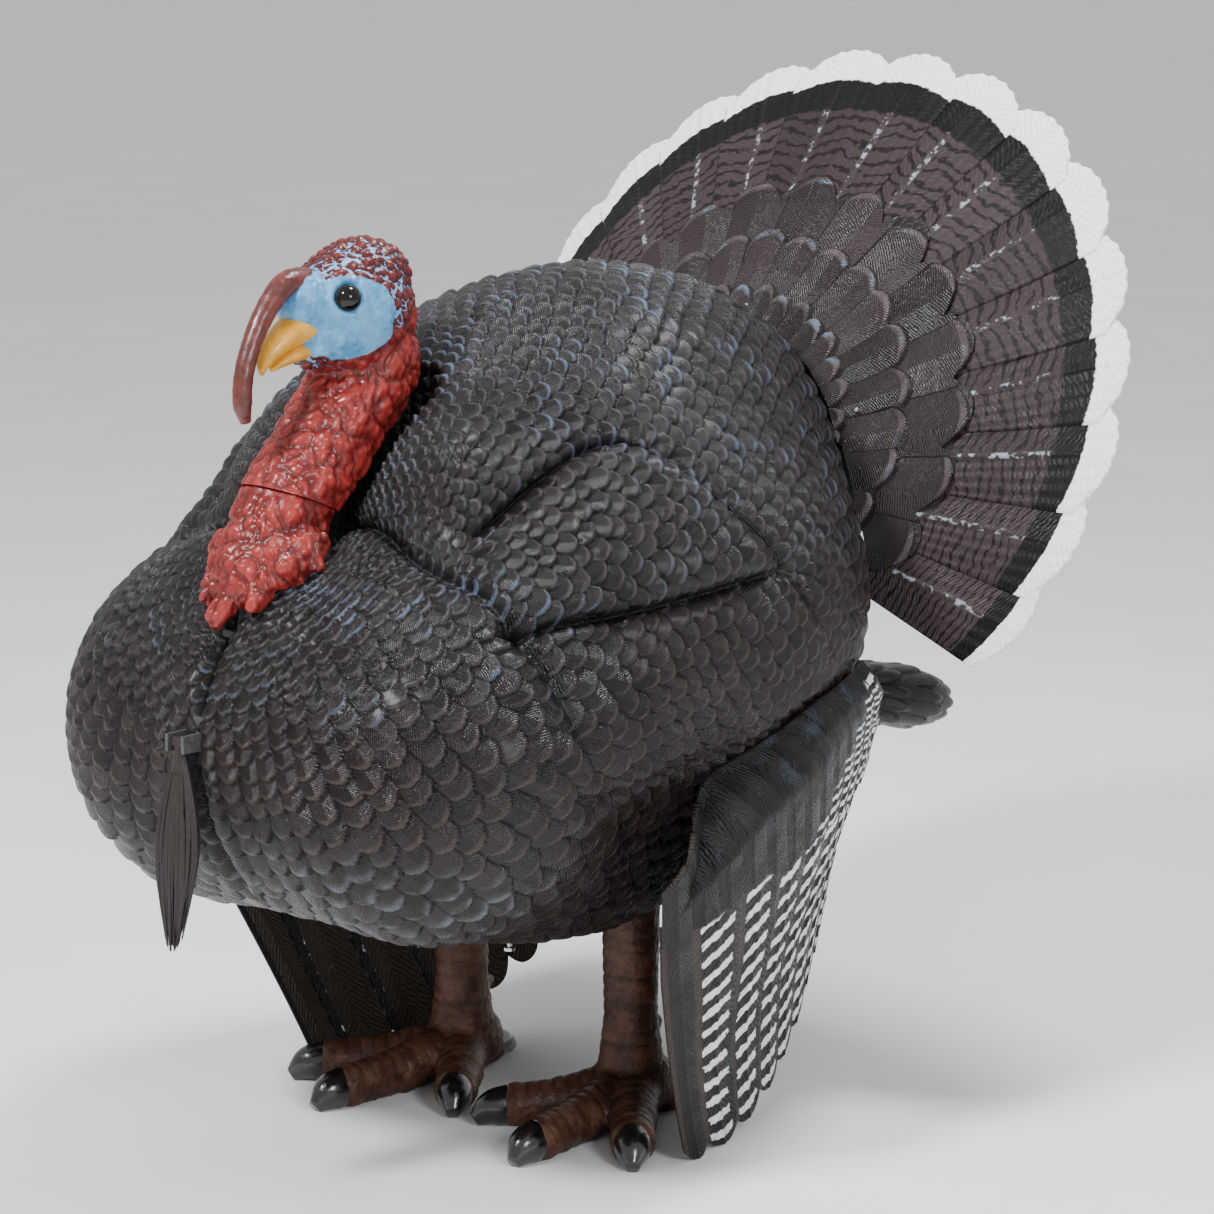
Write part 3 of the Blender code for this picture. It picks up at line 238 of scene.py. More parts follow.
def wing_paint():
    """Dark slate flight feathers with ragged white bars on the outer face, and a painted blue sheen along the
    top of the wing.
    """
    s = Shader("wing_paint", 0.42, Specular_IOR_Level=0.2)
    along, across, tone = s.value("along"), s.value("across"), s.value("tone")
    barred, run, outer = s.value("barred"), s.value("run"), s.value("outer")
    lines = barbs(s, s.times(run, 40.0), across, 0.8)
    dark = s.mix(tone, (0.008, 0.0062, 0.0066), (0.015, 0.0112, 0.0115))
    ground = s.mix(s.times(lines, 0.5), dark, (0.018, 0.015, 0.0165))
    inner = s.mix(lines, (0.023, 0.015, 0.0115), (0.048, 0.033, 0.026))
    ground = s.mix(outer, inner, ground)
    ragged = s.times_plus(s.noise(170.0), 0.42, along)
    band = s.calc("FRACT", ragged)
    bar = s.times(s.step(band, 0.48, 0.54), s.step(band, 0.94, 0.88))
    edge = s.times_plus(s.noise(200.0, 2.0), 0.5, s.calc("ABSOLUTE", across))
    bar = s.times(bar, s.step(edge, 0.9, 0.84))
    bar = s.times(bar, barred, outer)
    white = s.mix(s.step(s.noise(300.0), 0.35, 0.7), (0.62, 0.66, 0.68), (0.86, 0.88, 0.87))
    # Painted sheen: blue mixed into the barbs, stronger towards the top of the wing.
    painted_sheen = s.times(s.value("sheen"), s.step(s.noise(60.0, 4.0), 0.5, 0.7))
    ground = s.mix(s.times(painted_sheen, lines, 0.7), ground, (0.05, 0.08, 0.12))
    s.colour(s.mix(bar, ground, white))
    s.rough(s.noise(50.0), 0.34, 0.55)
    s.bump(s.plus(s.times(lines, 0.7), s.times(s.noise(300.0), 0.3)), 0.0012, 0.8)
    return s.material


def tail_paint():
    """Mauve-brown feathers: dark wavy bars, a pale shaft, a black band and a white tip."""
    s = Shader("tail_paint", 0.46, Specular_IOR_Level=0.18)
    along, across, tone = s.value("along"), s.value("across"), s.value("tone")
    lean = s.calc("ABSOLUTE", across)
    lines = barbs(s, s.times(along, 9.0), across)
    ground = s.mix(tone, (0.027, 0.0172, 0.0192), (0.046, 0.0315, 0.0335))
    ground = s.mix(s.times(lines, 0.35), ground, (0.024, 0.0165, 0.017))
    waves = s.times(s.noise(60.0, 2.0), 1.8)
    droop = s.times(lean, -0.9)
    count = s.times_plus(along, 23.0, s.plus(waves, droop))
    band = s.calc("FRACT", count)
    bar = s.times(s.step(band, 0.52, 0.6), s.step(band, 0.92, 0.84))
    bar = s.times(bar, s.step(lean, 0.05, 0.13))
    bar = s.times(bar, s.step(s.noise(110.0, 2.0), 0.28, 0.44))
    painted = s.mix(s.times(bar, 0.92), ground, (0.005, 0.0036, 0.0038))
    fleck = s.times(s.step(lean, 0.085, 0.03), s.step(s.noise(190.0, 2.0), 0.5, 0.62))
    painted = s.mix(s.times(fleck, 0.65), painted, (0.36, 0.42, 0.48))
    curl = s.times_plus(s.noise(120.0, 2.0), 0.026, along)
    painted = s.mix(s.step(curl, 0.785, 0.797), painted, (0.0032, 0.0028, 0.003))
    white = s.mix(s.step(lines, 0.1, 0.8), (0.78, 0.81, 0.83), (0.92, 0.94, 0.95))
    tip = s.step(s.times_plus(s.noise(200.0, 2.0), 0.018, s.value("tipped")), 0.893, 0.9)
    s.colour(s.mix(tip, painted, white))
    s.rough(s.noise(50.0), 0.38, 0.56)
    shaft = s.step(lean, 0.07, 0.0)
    relief = s.plus(s.times(lines, 0.5), s.times(shaft, 0.8))
    s.bump(s.plus(relief, s.times(bar, -0.15)), 0.0007, 0.6)
    return s.material


def covert_paint():
    """Rounded tail coverts: dark brown with a worn paler lip, and painted blue glints on the lips of the
    higher coverts.
    """
    s = Shader("covert_paint", 0.4, Specular_IOR_Level=0.26)
    along, across, tone, ridge = s.value("along"), s.value("across"), s.value("tone"), s.value("ridge")
    lines = barbs(s, s.times(along, 1.6), across)
    ground = s.mix(tone, (0.012, 0.008, 0.0082), (0.027, 0.019, 0.019))
    ridge_wear_and_sheen = s.times(s.step(ridge, 0.55, 0.95), s.step(s.noise(70.0), 0.3, 0.6, (0.3, 1.0)))
    ground = s.mix(ridge_wear_and_sheen, ground, (0.064, 0.047, 0.049))
    # Painted glints: blue on the lips, in patches, stronger on the higher coverts.
    painted_sheen = s.times(s.step(s.noise(45.0, 4.0), 0.52, 0.66), s.step(ridge, 0.5, 0.95))
    painted_sheen = s.times(painted_sheen, s.times(s.value("sheen"), s.step(lines, 0.2, 0.8)))
    s.colour(s.mix(painted_sheen, ground, (0.14, 0.21, 0.3)))
    s.rough(s.noise(50.0), 0.3, 0.48)
    s.bump(s.plus(s.times(lines, 0.6), s.times(s.noise(300.0), 0.3)), 0.0011, 0.7)
    return s.material


def skin_paint():
    """Bare skin: sky-blue face, maroon crown veined with blue, deep red wattles."""
    s = Shader("skin_paint", 0.36, Specular_IOR_Level=0.34, Coat_Weight=0.1, Coat_Roughness=0.2)
    face, crown, lump = s.value("face"), s.value("crown"), s.value("lump")
    red = s.mix(s.step(lump, 0.1, 0.85), (0.09, 0.007, 0.007), (0.3, 0.03, 0.026))
    red = s.mix(s.step(s.noise(230.0), 0.5, 0.78, (0.0, 0.2)), red, (0.4, 0.075, 0.062))
    maroon = s.mix(s.step(lump, 0.2, 0.9), (0.042, 0.0065, 0.007), (0.13, 0.017, 0.016))
    wander = s.calc("SUBTRACT", s.noise(120.0), 0.5)
    vein = s.step(s.times_plus(wander, 0.6, lump), 0.27, 0.19)
    veined = s.mix(s.times(vein, 0.92), maroon, (0.21, 0.35, 0.62))
    blue = s.mix(s.step(s.noise(75.0, 4.0), 0.35, 0.7), (0.055, 0.215, 0.415), (0.13, 0.35, 0.56))
    mottle = s.step(s.noise(120.0), 0.62, 0.74, (0.0, 0.35))
    blue = s.mix(mottle, blue, (0.07, 0.17, 0.38))
    painted = s.mix(crown, red, veined)
    border = s.times_plus(s.calc("SUBTRACT", s.noise(70.0), 0.5), 0.9, face)
    s.colour(s.mix(s.step(border, 0.4, 0.5), painted, blue))
    s.rough(s.noise(90.0), 0.22, 0.4)
    s.bump(s.plus(s.noise(240.0, 4.0), s.times(s.cells(330.0), 0.5)), 0.0008, 0.45)
    return s.material


def simple_paint(name, low, high, scale, rough, depth=0.0006, **sockets):
    """Two near shades broken up by noise, with a fine moulded grain."""
    s = Shader(name, rough, **sockets)
    s.colour(s.mix(s.step(s.noise(scale, 4.0), 0.35, 0.68), low, high))
    s.rough(s.noise(scale * 1.7), rough * 0.8, rough * 1.2)
    s.bump(s.noise(scale * 4.0, 4.0), depth, 0.6)
    return s.material


def leg_paint():
    s = Shader("leg_paint", 0.42, Specular_IOR_Level=0.26)
    groove = s.value("groove")
    skin = s.mix(s.step(s.noise(70.0, 4.0), 0.35, 0.7), (0.052, 0.022, 0.012), (0.115, 0.054, 0.033))
    s.colour(s.mix(s.step(groove, 0.25, 0.9, (0.0, 0.75)), skin, (0.018, 0.009, 0.0068)))
    s.rough(s.noise(90.0), 0.34, 0.52)
    s.bump(s.plus(s.noise(300.0, 4.0), s.times(s.cells(260.0), 0.7)), 0.001, 0.6)
    return s.material


def beard_paint():
    s = Shader("beard_paint", 0.5, Specular_IOR_Level=0.4)
    streak = s.noise(900.0, 2.0)
    s.colour(s.mix(s.step(streak, 0.3, 0.7), (0.007, 0.0048, 0.0045), (0.026, 0.018, 0.016)))
    s.rough(streak, 0.4, 0.6)
    s.bump(streak, 0.0004, 0.6)
    return s.material


def eye_paint():
    s = Shader("eye_paint", 0.1, Specular_IOR_Level=0.35, Coat_Weight=0.15, Coat_Roughness=0.03)
    s.colour(s.mix(s.step(s.noise(500.0), 0.4, 0.7), (0.0025, 0.0022, 0.0022), (0.006, 0.0045, 0.004)))
    return s.material


PAINT = {
    "feather": feather_paint(),
    "wing": wing_paint(),
    "tail": tail_paint(),
    "covert": covert_paint(),
    "skin": skin_paint(),
    "leg": leg_paint(),
    "beard": beard_paint(),
    "eye": eye_paint(),
    "claw": simple_paint("claw_paint", (0.0045, 0.004, 0.004), (0.014, 0.011, 0.01), 120.0, 0.16,
                         Coat_Weight=0.7, Coat_Roughness=0.08),
    "beak": simple_paint("beak_paint", (0.58, 0.26, 0.018), (0.74, 0.37, 0.038), 90.0, 0.34,
                         Coat_Weight=0.15),
    "snood": simple_paint("snood_paint", (0.07, 0.013, 0.011), (0.14, 0.026, 0.021), 90.0, 0.34,
                          0.0004, Coat_Weight=0.08),
    "steel": simple_paint("zinc_plate", (0.5, 0.5, 0.48), (0.66, 0.66, 0.64), 160.0, 0.34,
                          0.0001, Metallic=1.0),
    "plastic": simple_paint("inner_moulding", (0.04, 0.04, 0.043), (0.06, 0.06, 0.064), 220.0, 0.55,
                            0.0002),
    "floor": simple_paint("studio_floor", (0.86, 0.86, 0.86), (0.89, 0.89, 0.89), 3.0, 0.75, 0.0001),
}


# ---------------------------------------------------------------- mesh helpers
def place(points):
    moved = np.array(points, float)
    moved[..., 1] += SHIFT
    return moved


def new_object(name, data):
    made = bpy.data.objects.new(name, data)
    bpy.context.scene.collection.objects.link(made)
    return made


def write_values(mesh, values):
    """Writes named values, one for each point, for the materials to read."""
    for key, value in values.items():
        layer = mesh.attributes.new(key, "FLOAT", "POINT")
        layer.data.foreach_set("value", np.asarray(value, np.float32).ravel())


def make_mesh(name, points, quads, paint, body, values=None):
    """A mesh from points (n, 3), quads (m, 4) and named values per point, riding on a body."""
    mesh = bpy.data.meshes.new(name)
    mesh.vertices.add(len(points))
    mesh.vertices.foreach_set("co", place(points).astype(np.float32).ravel())
    mesh.loops.add(quads.size)
    mesh.loops.foreach_set("vertex_index", quads.astype(np.int32).ravel())
    mesh.polygons.add(len(quads))
    mesh.polygons.foreach_set("loop_start", np.arange(0, quads.size, 4, dtype=np.int32))
    mesh.update(calc_edges=True)
    write_values(mesh, values or {})
    mesh.validate()
    mesh.shade_smooth()
    mesh.materials.append(PAINT[paint])
    made = new_object(name, mesh)
    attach(made, body)
    return made


def grid_quads(rows, columns, wrap=False, flip=False):
    """Quads of a grid of points; wrap joins its last column to its first."""
    index = np.arange(rows * columns).reshape(rows, columns)
    across = np.roll(index, -1, 1) if wrap else index[:, 1:]
    near = index if wrap else index[:, :-1]
    quads = np.stack([near[:-1], across[:-1], across[1:], near[1:]], -1).reshape(-1, 4)
    return quads[:, ::-1] if flip else quads


def sheet(name, front, back, paint, body, values=None):
    """A closed sheet between two (rows, columns, 3) grids; values are given for each point of both."""
    rows, columns = front.shape[:2]
    count = rows * columns
    index = np.arange(count).reshape(rows, columns)
    edge = np.concatenate([index[0, :-1], index[:-1, -1], index[-1, :0:-1], index[:0:-1, 0]])
    after = np.roll(edge, -1)
    rim = np.stack([after, edge, edge + count, after + count], -1)
    quads = np.concatenate([grid_quads(rows, columns), grid_quads(rows, columns, flip=True) + count, rim])
    points = np.concatenate([front.reshape(-1, 3), back.reshape(-1, 3)])
    both = {key: np.concatenate([one.ravel(), two.ravel()]) for key, (one, two) in (values or {}).items()}
    return make_mesh(name, points, quads, paint, body, both)


def random_of(*keys):
    """A repeatable number from 0 to 1 for whole-number arrays."""
    total = 0.0
    for weight, key in zip((12.9898, 78.233, 37.719), keys):
        total = total + np.asarray(key, float) * weight
    return np.mod(np.abs(np.sin(total) * 43758.5453), 1.0)


def smoothstep(value, low, high):
    share = np.clip((value - low) / (high - low), 0.0, 1.0)
    return share * share * (3 - 2 * share)


def normals_of(grid, wrap=False):
    """Unit normals of a (rows, columns, 3) grid of points."""
    down = np.gradient(grid, axis=0)
    if wrap:
        across = (np.roll(grid, -1, 1) - np.roll(grid, 1, 1)) / 2
    else:
        across = np.gradient(grid, axis=1)
    normal = np.cross(across, down)
    return normal / (np.linalg.norm(normal, axis=-1, keepdims=True) + 1e-12)


def cubic(a, b, c, d, t):
    """A smooth curve from b to c, with a and d the points on either side."""
    return 0.5 * (2 * b + (c - a) * t + (2 * a - 5 * b + 4 * c - d) * t**2 + (3 * b - a - 3 * c + d) * t**3)


def spline(points, shares):
    """Places on a smooth line through the points, at shares from 0 to 1 of its knots."""
    points = np.array(points, float)
    if points.ndim == 1:
        points = points[:, None]
    padded = np.concatenate([2 * points[:1] - points[1:2], points, 2 * points[-1:] - points[-2:-1]])
    spot = np.clip(np.asarray(shares, float), 0, 1) * (len(points) - 1)
    knot = np.minimum(spot.astype(int), len(points) - 2)
    t = (spot - knot)[:, None]
    return cubic(*(padded[knot + step] for step in range(4)), t)


def tube_points(path, wide, deep, rings=24, segments=14, up=(1.0, 0.0, 0.0)):
    """Points and quads of a closed tube along a smooth path, wide along up and deep across it."""
    shares = np.linspace(0, 1, rings)
    line = spline(path, shares)
    tangent = np.gradient(line, axis=0)
    tangent /= np.linalg.norm(tangent, axis=1, keepdims=True)
    side = np.array(up, float) - tangent * (tangent @ np.array(up, float))[:, None]
    side /= np.linalg.norm(side, axis=1, keepdims=True)
    other = np.cross(tangent, side)
    turn = np.linspace(0, 2 * math.pi, segments, endpoint=False)
    w = spline(wide, shares)
    d = spline(deep, shares)
    grid = (line[:, None] + side[:, None] * (w * np.cos(turn))[..., None]
            + other[:, None] * (d * np.sin(turn))[..., None])
    points = np.concatenate([grid.reshape(-1, 3), line[:1], line[-1:]])
    quads = grid_quads(rings, segments, wrap=True)
    ring = np.arange(segments)
    start, end = rings * segments, rings * segments + 1
    last = ring + (rings - 1) * segments
    evens = ring[::2]
    first = np.stack([np.full(segments // 2, start), (evens + 2) % segments, evens + 1, evens], -1)
    final = np.stack([np.full(segments // 2, end), last[evens], last[evens + 1],
                      last[(evens + 2) % segments]], -1)
    return points, np.concatenate([quads, first, final])


def tube(name, path, wide, deep, paint, body, **shape):
    points, quads = tube_points(path, wide, deep, **shape)
    return make_mesh(name, points, quads, paint, body)


def lump_mesh(name, lumps, voxel, relax=4):
    """One skin round overlapping balls (centre, radii) and rods (start, end, two radii)."""
    bm = bmesh.new()
    for lump in lumps:
        if len(lump) == 2:
            size = Matrix.Diagonal((*lump[1], 1.0))
            bmesh.ops.create_uvsphere(bm, u_segments=32, v_segments=16, radius=1.0,
                                      matrix=Matrix.Translation(lump[0]) @ size)
            continue
        start, end = Vector(lump[0]), Vector(lump[1])
        along = end - start
        turn = along.to_track_quat("Z", "Y").to_matrix().to_4x4()
        bmesh.ops.create_cone(bm, cap_ends=True, segments=32, radius1=lump[2], radius2=lump[3],
                              depth=along.length, matrix=Matrix.Translation((start + end) / 2) @ turn)
    mesh = bpy.data.meshes.new(name)
    bm.to_mesh(mesh)
    bm.free()
    made = new_object(name, mesh)
    join = made.modifiers.new("join", "REMESH")
    join.mode = "VOXEL"
    join.voxel_size = voxel
    ease = made.modifiers.new("ease", "SMOOTH")
    ease.iterations = relax
    bpy.context.view_layer.update()
    baked = bpy.data.meshes.new_from_object(made.evaluated_get(bpy.context.evaluated_depsgraph_get()))
    made.modifiers.clear()
    made.data = baked
    return made


def mesh_arrays(mesh):
    points = np.empty(len(mesh.vertices) * 3, np.float32)
    mesh.vertices.foreach_get("co", points)
    normals = np.empty(len(mesh.vertices) * 3, np.float32)
    mesh.vertices.foreach_get("normal", normals)
    return points.reshape(-1, 3).astype(float), normals.reshape(-1, 3).astype(float)


def finish_lumps(made, points, paint, body, values):
    """Writes moved points and values back to a lump mesh, and lets it ride."""
    made.data.vertices.foreach_set("co", place(points).astype(np.float32).ravel())
    write_values(made.data, values)
    made.data.shade_smooth()
    made.data.materials.clear()
    made.data.materials.append(PAINT[paint])
    made.data.update()
    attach(made, body)
    return made


# ---------------------------------------------------------------- body surface
def lumps_field(points):
    total = np.zeros(len(points))
    for centre, radii in BODY_LUMPS:
        for side in (1, -1) if centre[0] else (1,):
            scaled = (points - np.array((centre[0] * side, centre[1], centre[2]))) / radii
            reach = np.linalg.norm(scaled, axis=1) + 1e-9
            slope = np.linalg.norm(scaled / radii, axis=1) + 1e-9
            total += np.exp(np.clip(-reach * (reach - 1.0) / slope / BODY_BLEND, -60, 60))
    return -BODY_BLEND * np.log(total)


def turned(point, degrees):
    """A point of the head, turned about the neck's axis."""
    angle = math.radians(degrees)
    offset = np.array(point) - NECK_JOINT
    along = NECK_AXIS * (offset @ NECK_AXIS)
    across = offset - along
    return NECK_JOINT + along + across * math.cos(angle) + np.cross(NECK_AXIS, across) * math.sin(angle)


def body_field(points):
    """Below zero inside the feathered body, with room for the head to turn."""
    room = np.full(len(points), -1.0)
    for degrees in (-20, -10, 0, 10, 20):
        foot, top, skull = (turned(point, degrees) for point in (NECK_FOOT, NECK_TOP, HEAD_PLACE))
        line = top - foot
        share = np.clip((points - foot) @ line / (line @ line), 0, 1)
        neck = NECK_ROOM - np.linalg.norm(points - foot - share[:, None] * line, axis=1)
        head = HEAD_ROOM - np.linalg.norm(points - skull, axis=1)
        room = np.maximum(room, np.maximum(neck, head))
    return np.logaddexp(lumps_field(points) / 0.003, room / 0.003) * 0.003


def exits(directions, origin=BODY_CENTRE, far=0.6, field=body_field):
    low, high = np.zeros(len(directions)), np.full(len(directions), far)
    for _ in range(20):
        middle = (low + high) / 2
        inside = field(origin + directions * middle[:, None]) < 0
        low, high = np.where(inside, middle, low), np.where(inside, high, middle)
    return (low + high) / 2


# feather rows run from the foot of the neck to the rump
POLE = np.array((0.0, -0.9377, 0.3473))
POLE_UP = np.array((0.0, 0.3473, 0.9377))


def pole_direction(u, v):
    """u from the breast pole to the rump, 0 to 1; v round from the back's ridge, 0.25 at the left."""
    polar, turn = math.pi * u[..., None], 2 * math.pi * v[..., None]
    around = np.array((1.0, 0.0, 0.0)) * np.sin(turn) + POLE_UP * np.cos(turn)
    return POLE * np.cos(polar) + around * np.sin(polar)


def resample(table, u, v):
    """Cubic-smooth reading of a table over u (ends held) and v (wrapping)."""
    rows, columns = table.shape
    across = np.concatenate([table[:, -2:], table, table[:, :2]], 1)
    spot = (v % 1.0) * columns
    knot, t = spot.astype(int), spot - spot.astype(int)
    weights = ((-t + 2 * t**2 - t**3) / 2, (2 - 5 * t**2 + 3 * t**3) / 2,
               (t + 4 * t**2 - 3 * t**3) / 2, (-t**2 + t**3) / 2)
    wide = sum(across[:, knot + 1 + step] * weight for step, weight in enumerate(weights))
    level = u * (rows - 1)
    low = np.minimum(level.astype(int), rows - 2)
    share = (level - low)[:, None]
    up, down = np.maximum(low - 1, 0), np.minimum(low + 2, rows - 1)
    return cubic(wide[up], wide[low], wide[low + 1], wide[down], share)


def scale_rows(sizes, length, start=0.0, end=1.0, overlap=0.6):
    """Row places from start to end, closer where the feathers are smaller."""
    rows, at = [], start
    while at < end:
        rows.append(at)
        at += sizes(at) * overlap / length
    return np.array(rows)


def scales(u, v, rows, counts, pitch, run=1.0, wrap=True, seed=0):
    """Overlapping rounded scales. Gives height (0 to 1), along, across, tone and ridge at each point."""
    shape = u.shape
    height, along, across = np.zeros(shape), np.zeros(shape), np.zeros(shape)
    tone, ridge = np.zeros(shape), np.zeros(shape)
    free = np.ones(shape, bool)
    base = np.searchsorted(rows, u, side="right") - 1
    for back in (3, 2, 1, 0, -1):
        row = base - back
        real = (row >= 0) & (row < len(rows))
        row = np.clip(row, 0, len(rows) - 1)
        count = counts[row]
        stagger = (row % 2) * 0.5 + random_of(row, seed) * 0.18
        slot = np.round(v * count - stagger)
        ident = np.mod(slot, count) if wrap else slot
        nudge = (random_of(row, ident, seed) - 0.5) * 0.28
        b = (v * count - stagger - slot - nudge) / 0.56
        size = pitch[row]
        a = (u - rows[row]) * run / size - (random_of(ident, row, seed + 3) - 0.5) * 0.35
        lean = np.abs(b)
        tip = 1.3 - 0.62 * np.minimum(lean, 1.3) ** 2.3
        hit = free & real & (a < tip) & (a > -1.8) & (lean < 1.12)
        edge = tip - a
        rise = np.clip(a / 1.3, -0.3, 1.0)
        level = 0.1 + 0.9 * rise - 0.22 * lean**2 + 0.1 * np.exp(-((edge - 0.22) / 0.13) ** 2)
        level -= 0.3 * np.exp(-edge * 12.0)
        height = np.where(hit, level, height)
        along = np.where(hit, a, along)
        across = np.where(hit, b, across)
        tone = np.where(hit, random_of(ident, row, seed + 7), tone)
        ridge = np.where(hit, np.exp(-((edge - 0.16) / 0.3) ** 2) * (1 - 0.4 * lean**2), ridge)
        free &= ~hit
    return height, along, across, tone, ridge


# Tract edges as (u, v): the shoulder shield's top, the line under it, the wing coverts' lower edge and
# the top of the breast. A scratch program worked these out from places in the photo; report.md says so.
SHIELD_TOP = ((0.147, 0.25), (0.15, 0.225), (0.215, 0.171), (0.299, 0.145), (0.391, 0.178), (0.477, 0.206),
              (0.565, 0.231), (0.64, 0.262))
SHIELD_LINE = ((0.14, 0.272), (0.205, 0.28), (0.242, 0.266), (0.308, 0.246), (0.388, 0.225), (0.477, 0.204))
COVERT_LOW = ((0.15, 0.345), (0.333, 0.337), (0.438, 0.309), (0.506, 0.287), (0.567, 0.263), (0.655, 0.238))
BREAST_TOP = ((0.03, 0.14), (0.102, 0.232), (0.166, 0.257), (0.224, 0.282), (0.279, 0.308), (0.339, 0.334),
              (0.437, 0.366), (0.51, 0.392))


def crease(away, width):
    return np.exp(-np.abs(away) / width)


def tract_relief(points, u, side, girth):
    """Heights of the raised tracts and their creases, in metres, and how deep in a crease each point is,
    which the feather paint also uses as painted shade in the creases.
    """
    edges = (SHIELD_TOP, SHIELD_LINE, COVERT_LOW, BREAST_TOP)
    top, line, low, breast = (spline_rows(edge, u) for edge in edges)
    in_top, over_line = (side - top) * girth, (line - side) * girth
    over_low, over_breast = (low - side) * girth, (side - breast) * girth
    shield_ends = smoothstep(u, 0.15, 0.185) * smoothstep(u, 0.5, 0.46)
    shield = (1 - np.exp(-np.clip(in_top, 0, 1) / 0.012)) * (1 - np.exp(-np.clip(over_line, 0, 1) / 0.012))
    covert_ends = smoothstep(u, 0.645, 0.6) * smoothstep(u, 0.19, 0.28)
    coverts = (1 - np.exp(-np.clip(in_top, 0, 1) / 0.01)) * smoothstep(over_low, -0.001, 0.006)
    lift = 0.0095 * shield * shield_ends + 0.0035 * coverts * covert_ends
    top_line = crease(in_top, 0.005) * smoothstep(u, 0.6, 0.42) * smoothstep(u, 0.145, 0.175)
    under_line = crease(over_line, 0.004) * smoothstep(u, 0.58, 0.4) * smoothstep(u, 0.19, 0.215)
    low_line = crease(over_low, 0.004) * smoothstep(u, 0.27, 0.36) * smoothstep(u, 0.67, 0.61)
    sharp = smoothstep(u, 0.34, 0.2)
    breast_line = crease(over_breast, 0.013 - 0.007 * sharp) * smoothstep(u, 0.5, 0.36)
    lobe = (1 - np.exp(-np.clip(over_breast, 0, 1) / 0.022)) * smoothstep(side, 0.495, 0.43)
    front = smoothstep(points[..., 1], -0.17, -0.24) * smoothstep(u, 0.025, 0.06)
    root = 1 - 0.45 * np.exp(-(((points[..., 2] - 0.304) / 0.022) ** 2))
    middle = crease(points[..., 0], 0.0085) * front * smoothstep(u, 0.3, 0.18) * root * (side > 0.25)
    lift += 0.0045 * lobe * smoothstep(u, 0.4, 0.24)
    lift -= 0.009 * top_line + 0.008 * under_line + 0.004 * low_line + 0.013 * middle
    lift -= (0.0045 + 0.0065 * sharp) * breast_line
    deep = top_line**2 + under_line**2 + 0.6 * low_line**2 + middle**2 + sharp * breast_line**2
    return lift, np.clip(deep, 0, 1)


def spline_rows(edge, u):
    """A smooth curve through the edge's places, read at every u."""
    knots, values = zip(*edge)
    fine = np.linspace(0, 1, 200)
    return np.interp(u, spline(knots, fine)[:, 0], spline(values, fine)[:, 0])


def feather_size(at):
    """Width of a body feather, at a share of the way from the breast pole to the rump."""
    return float(np.interp(at, (0, 0.06, 0.11, 0.17, 0.25, 0.35, 0.6, 1),
                           (0.007, 0.0085, 0.0115, 0.0155, 0.0185, 0.019, 0.0185, 0.02)))


def body_skins():
    """The feathered body, in six pieces that share their edges."""
    rows, columns = BODY_ROWS, BODY_COLUMNS
    table_u, table_v = np.linspace(0, 1, 161), np.arange(240) / 240
    directions = pole_direction(*np.meshgrid(table_u, table_v, indexing="ij"))
    table = exits(directions.reshape(-1, 3)).reshape(161, 240)
    u1, v1 = np.linspace(0.012, 0.975, rows), np.arange(columns) / columns
    reach = resample(table, u1, v1)
    u, v = np.meshgrid(u1, v1, indexing="ij")
    surface = BODY_CENTRE + pole_direction(u, v) * reach[..., None]
    normal = normals_of(surface, wrap=True)
    run = np.linalg.norm(np.gradient(surface, axis=0), axis=-1) / (u1[1] - u1[0])
    run = np.repeat(run.mean(1, keepdims=True), columns, 1)
    girth = np.linalg.norm(surface - np.roll(surface, 1, 1), axis=-1).sum(1)
    lines = scale_rows(feather_size, float(run.mean()), 0.012, 0.98)
    size = np.array([feather_size(at) for at in lines])
    counts = np.maximum(np.round(np.interp(lines, u1, girth) / size), 6)
    height, along, across, tone, ridge = scales(u, v, lines, counts, size * 0.6, run)
    side = np.minimum(v, 1 - v)
    depth = 0.0044 * np.interp(u, lines, size) / 0.0185
    calm = 1.0 - 0.6 * smoothstep(side, 0.41, 0.47) * smoothstep(u, 0.22, 0.34)
    folds, deep = tract_relief(surface, u, side, girth[:, None])
    uneven = 0.8 + 0.4 * np.mod(tone * 7.3, 1.0)
    lift = height * depth * calm * uneven * (1 - 0.6 * deep) + folds - 0.0025
    points = surface + normal * lift[..., None]
    # Painted sheen: sheen grows where the surface faces up, for the blue-grey sheen the feather paint paints
    # there.
    up = np.clip(normal[..., 2], 0, 1)
    sheen = np.clip(0.06 + 1.1 * up**1.3, 0, 1) * (0.35 + 0.65 * tone)
    # Painted reflection: pale marks the down-facing front of the breast, where the feather paint paints a
    # pale blue-grey reflection.
    hem = smoothstep(normal[..., 2], -0.25, -0.6) * smoothstep(normal[..., 2], -0.98, -0.75)
    pale = 0.55 * hem * smoothstep(points[..., 1], -0.15, -0.24)
    # deep: how far into a crease each point is, painted as shade by the feather paint.
    values = {"along": along, "across": across, "tone": tone, "ridge": ridge, "sheen": sheen,
              "pale": pale, "deep": 0.85 * deep}
    cuts = (0, int(rows * 0.34), int(rows * 0.66), rows - 1)
    names = ("breast", "flank", "rump")
    half = columns // 2
    for side_name, offset in (("left", 0), ("right", half)):
        cols = np.arange(offset, offset + half + 1) % columns
        for name, low, high in zip(names, cuts, cuts[1:]):
            pick = np.ix_(np.arange(low, high + 1), cols)
            grid = points[pick]
            quads = grid_quads(*grid.shape[:2], flip=True)
            centre = grid.reshape(-1, 3)[quads].mean(1)
            bore = (np.hypot(centre[:, 0], centre[:, 1]) < 0.019) & (centre[:, 2] < 0.2)
            data = {key: value[pick] for key, value in values.items()}
            made = make_mesh(f"{name}_feathers_{side_name}", grid.reshape(-1, 3), quads[~bore], "feather",
                             "decoy_body", data)
            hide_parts(f"body_shell_{side_name}")


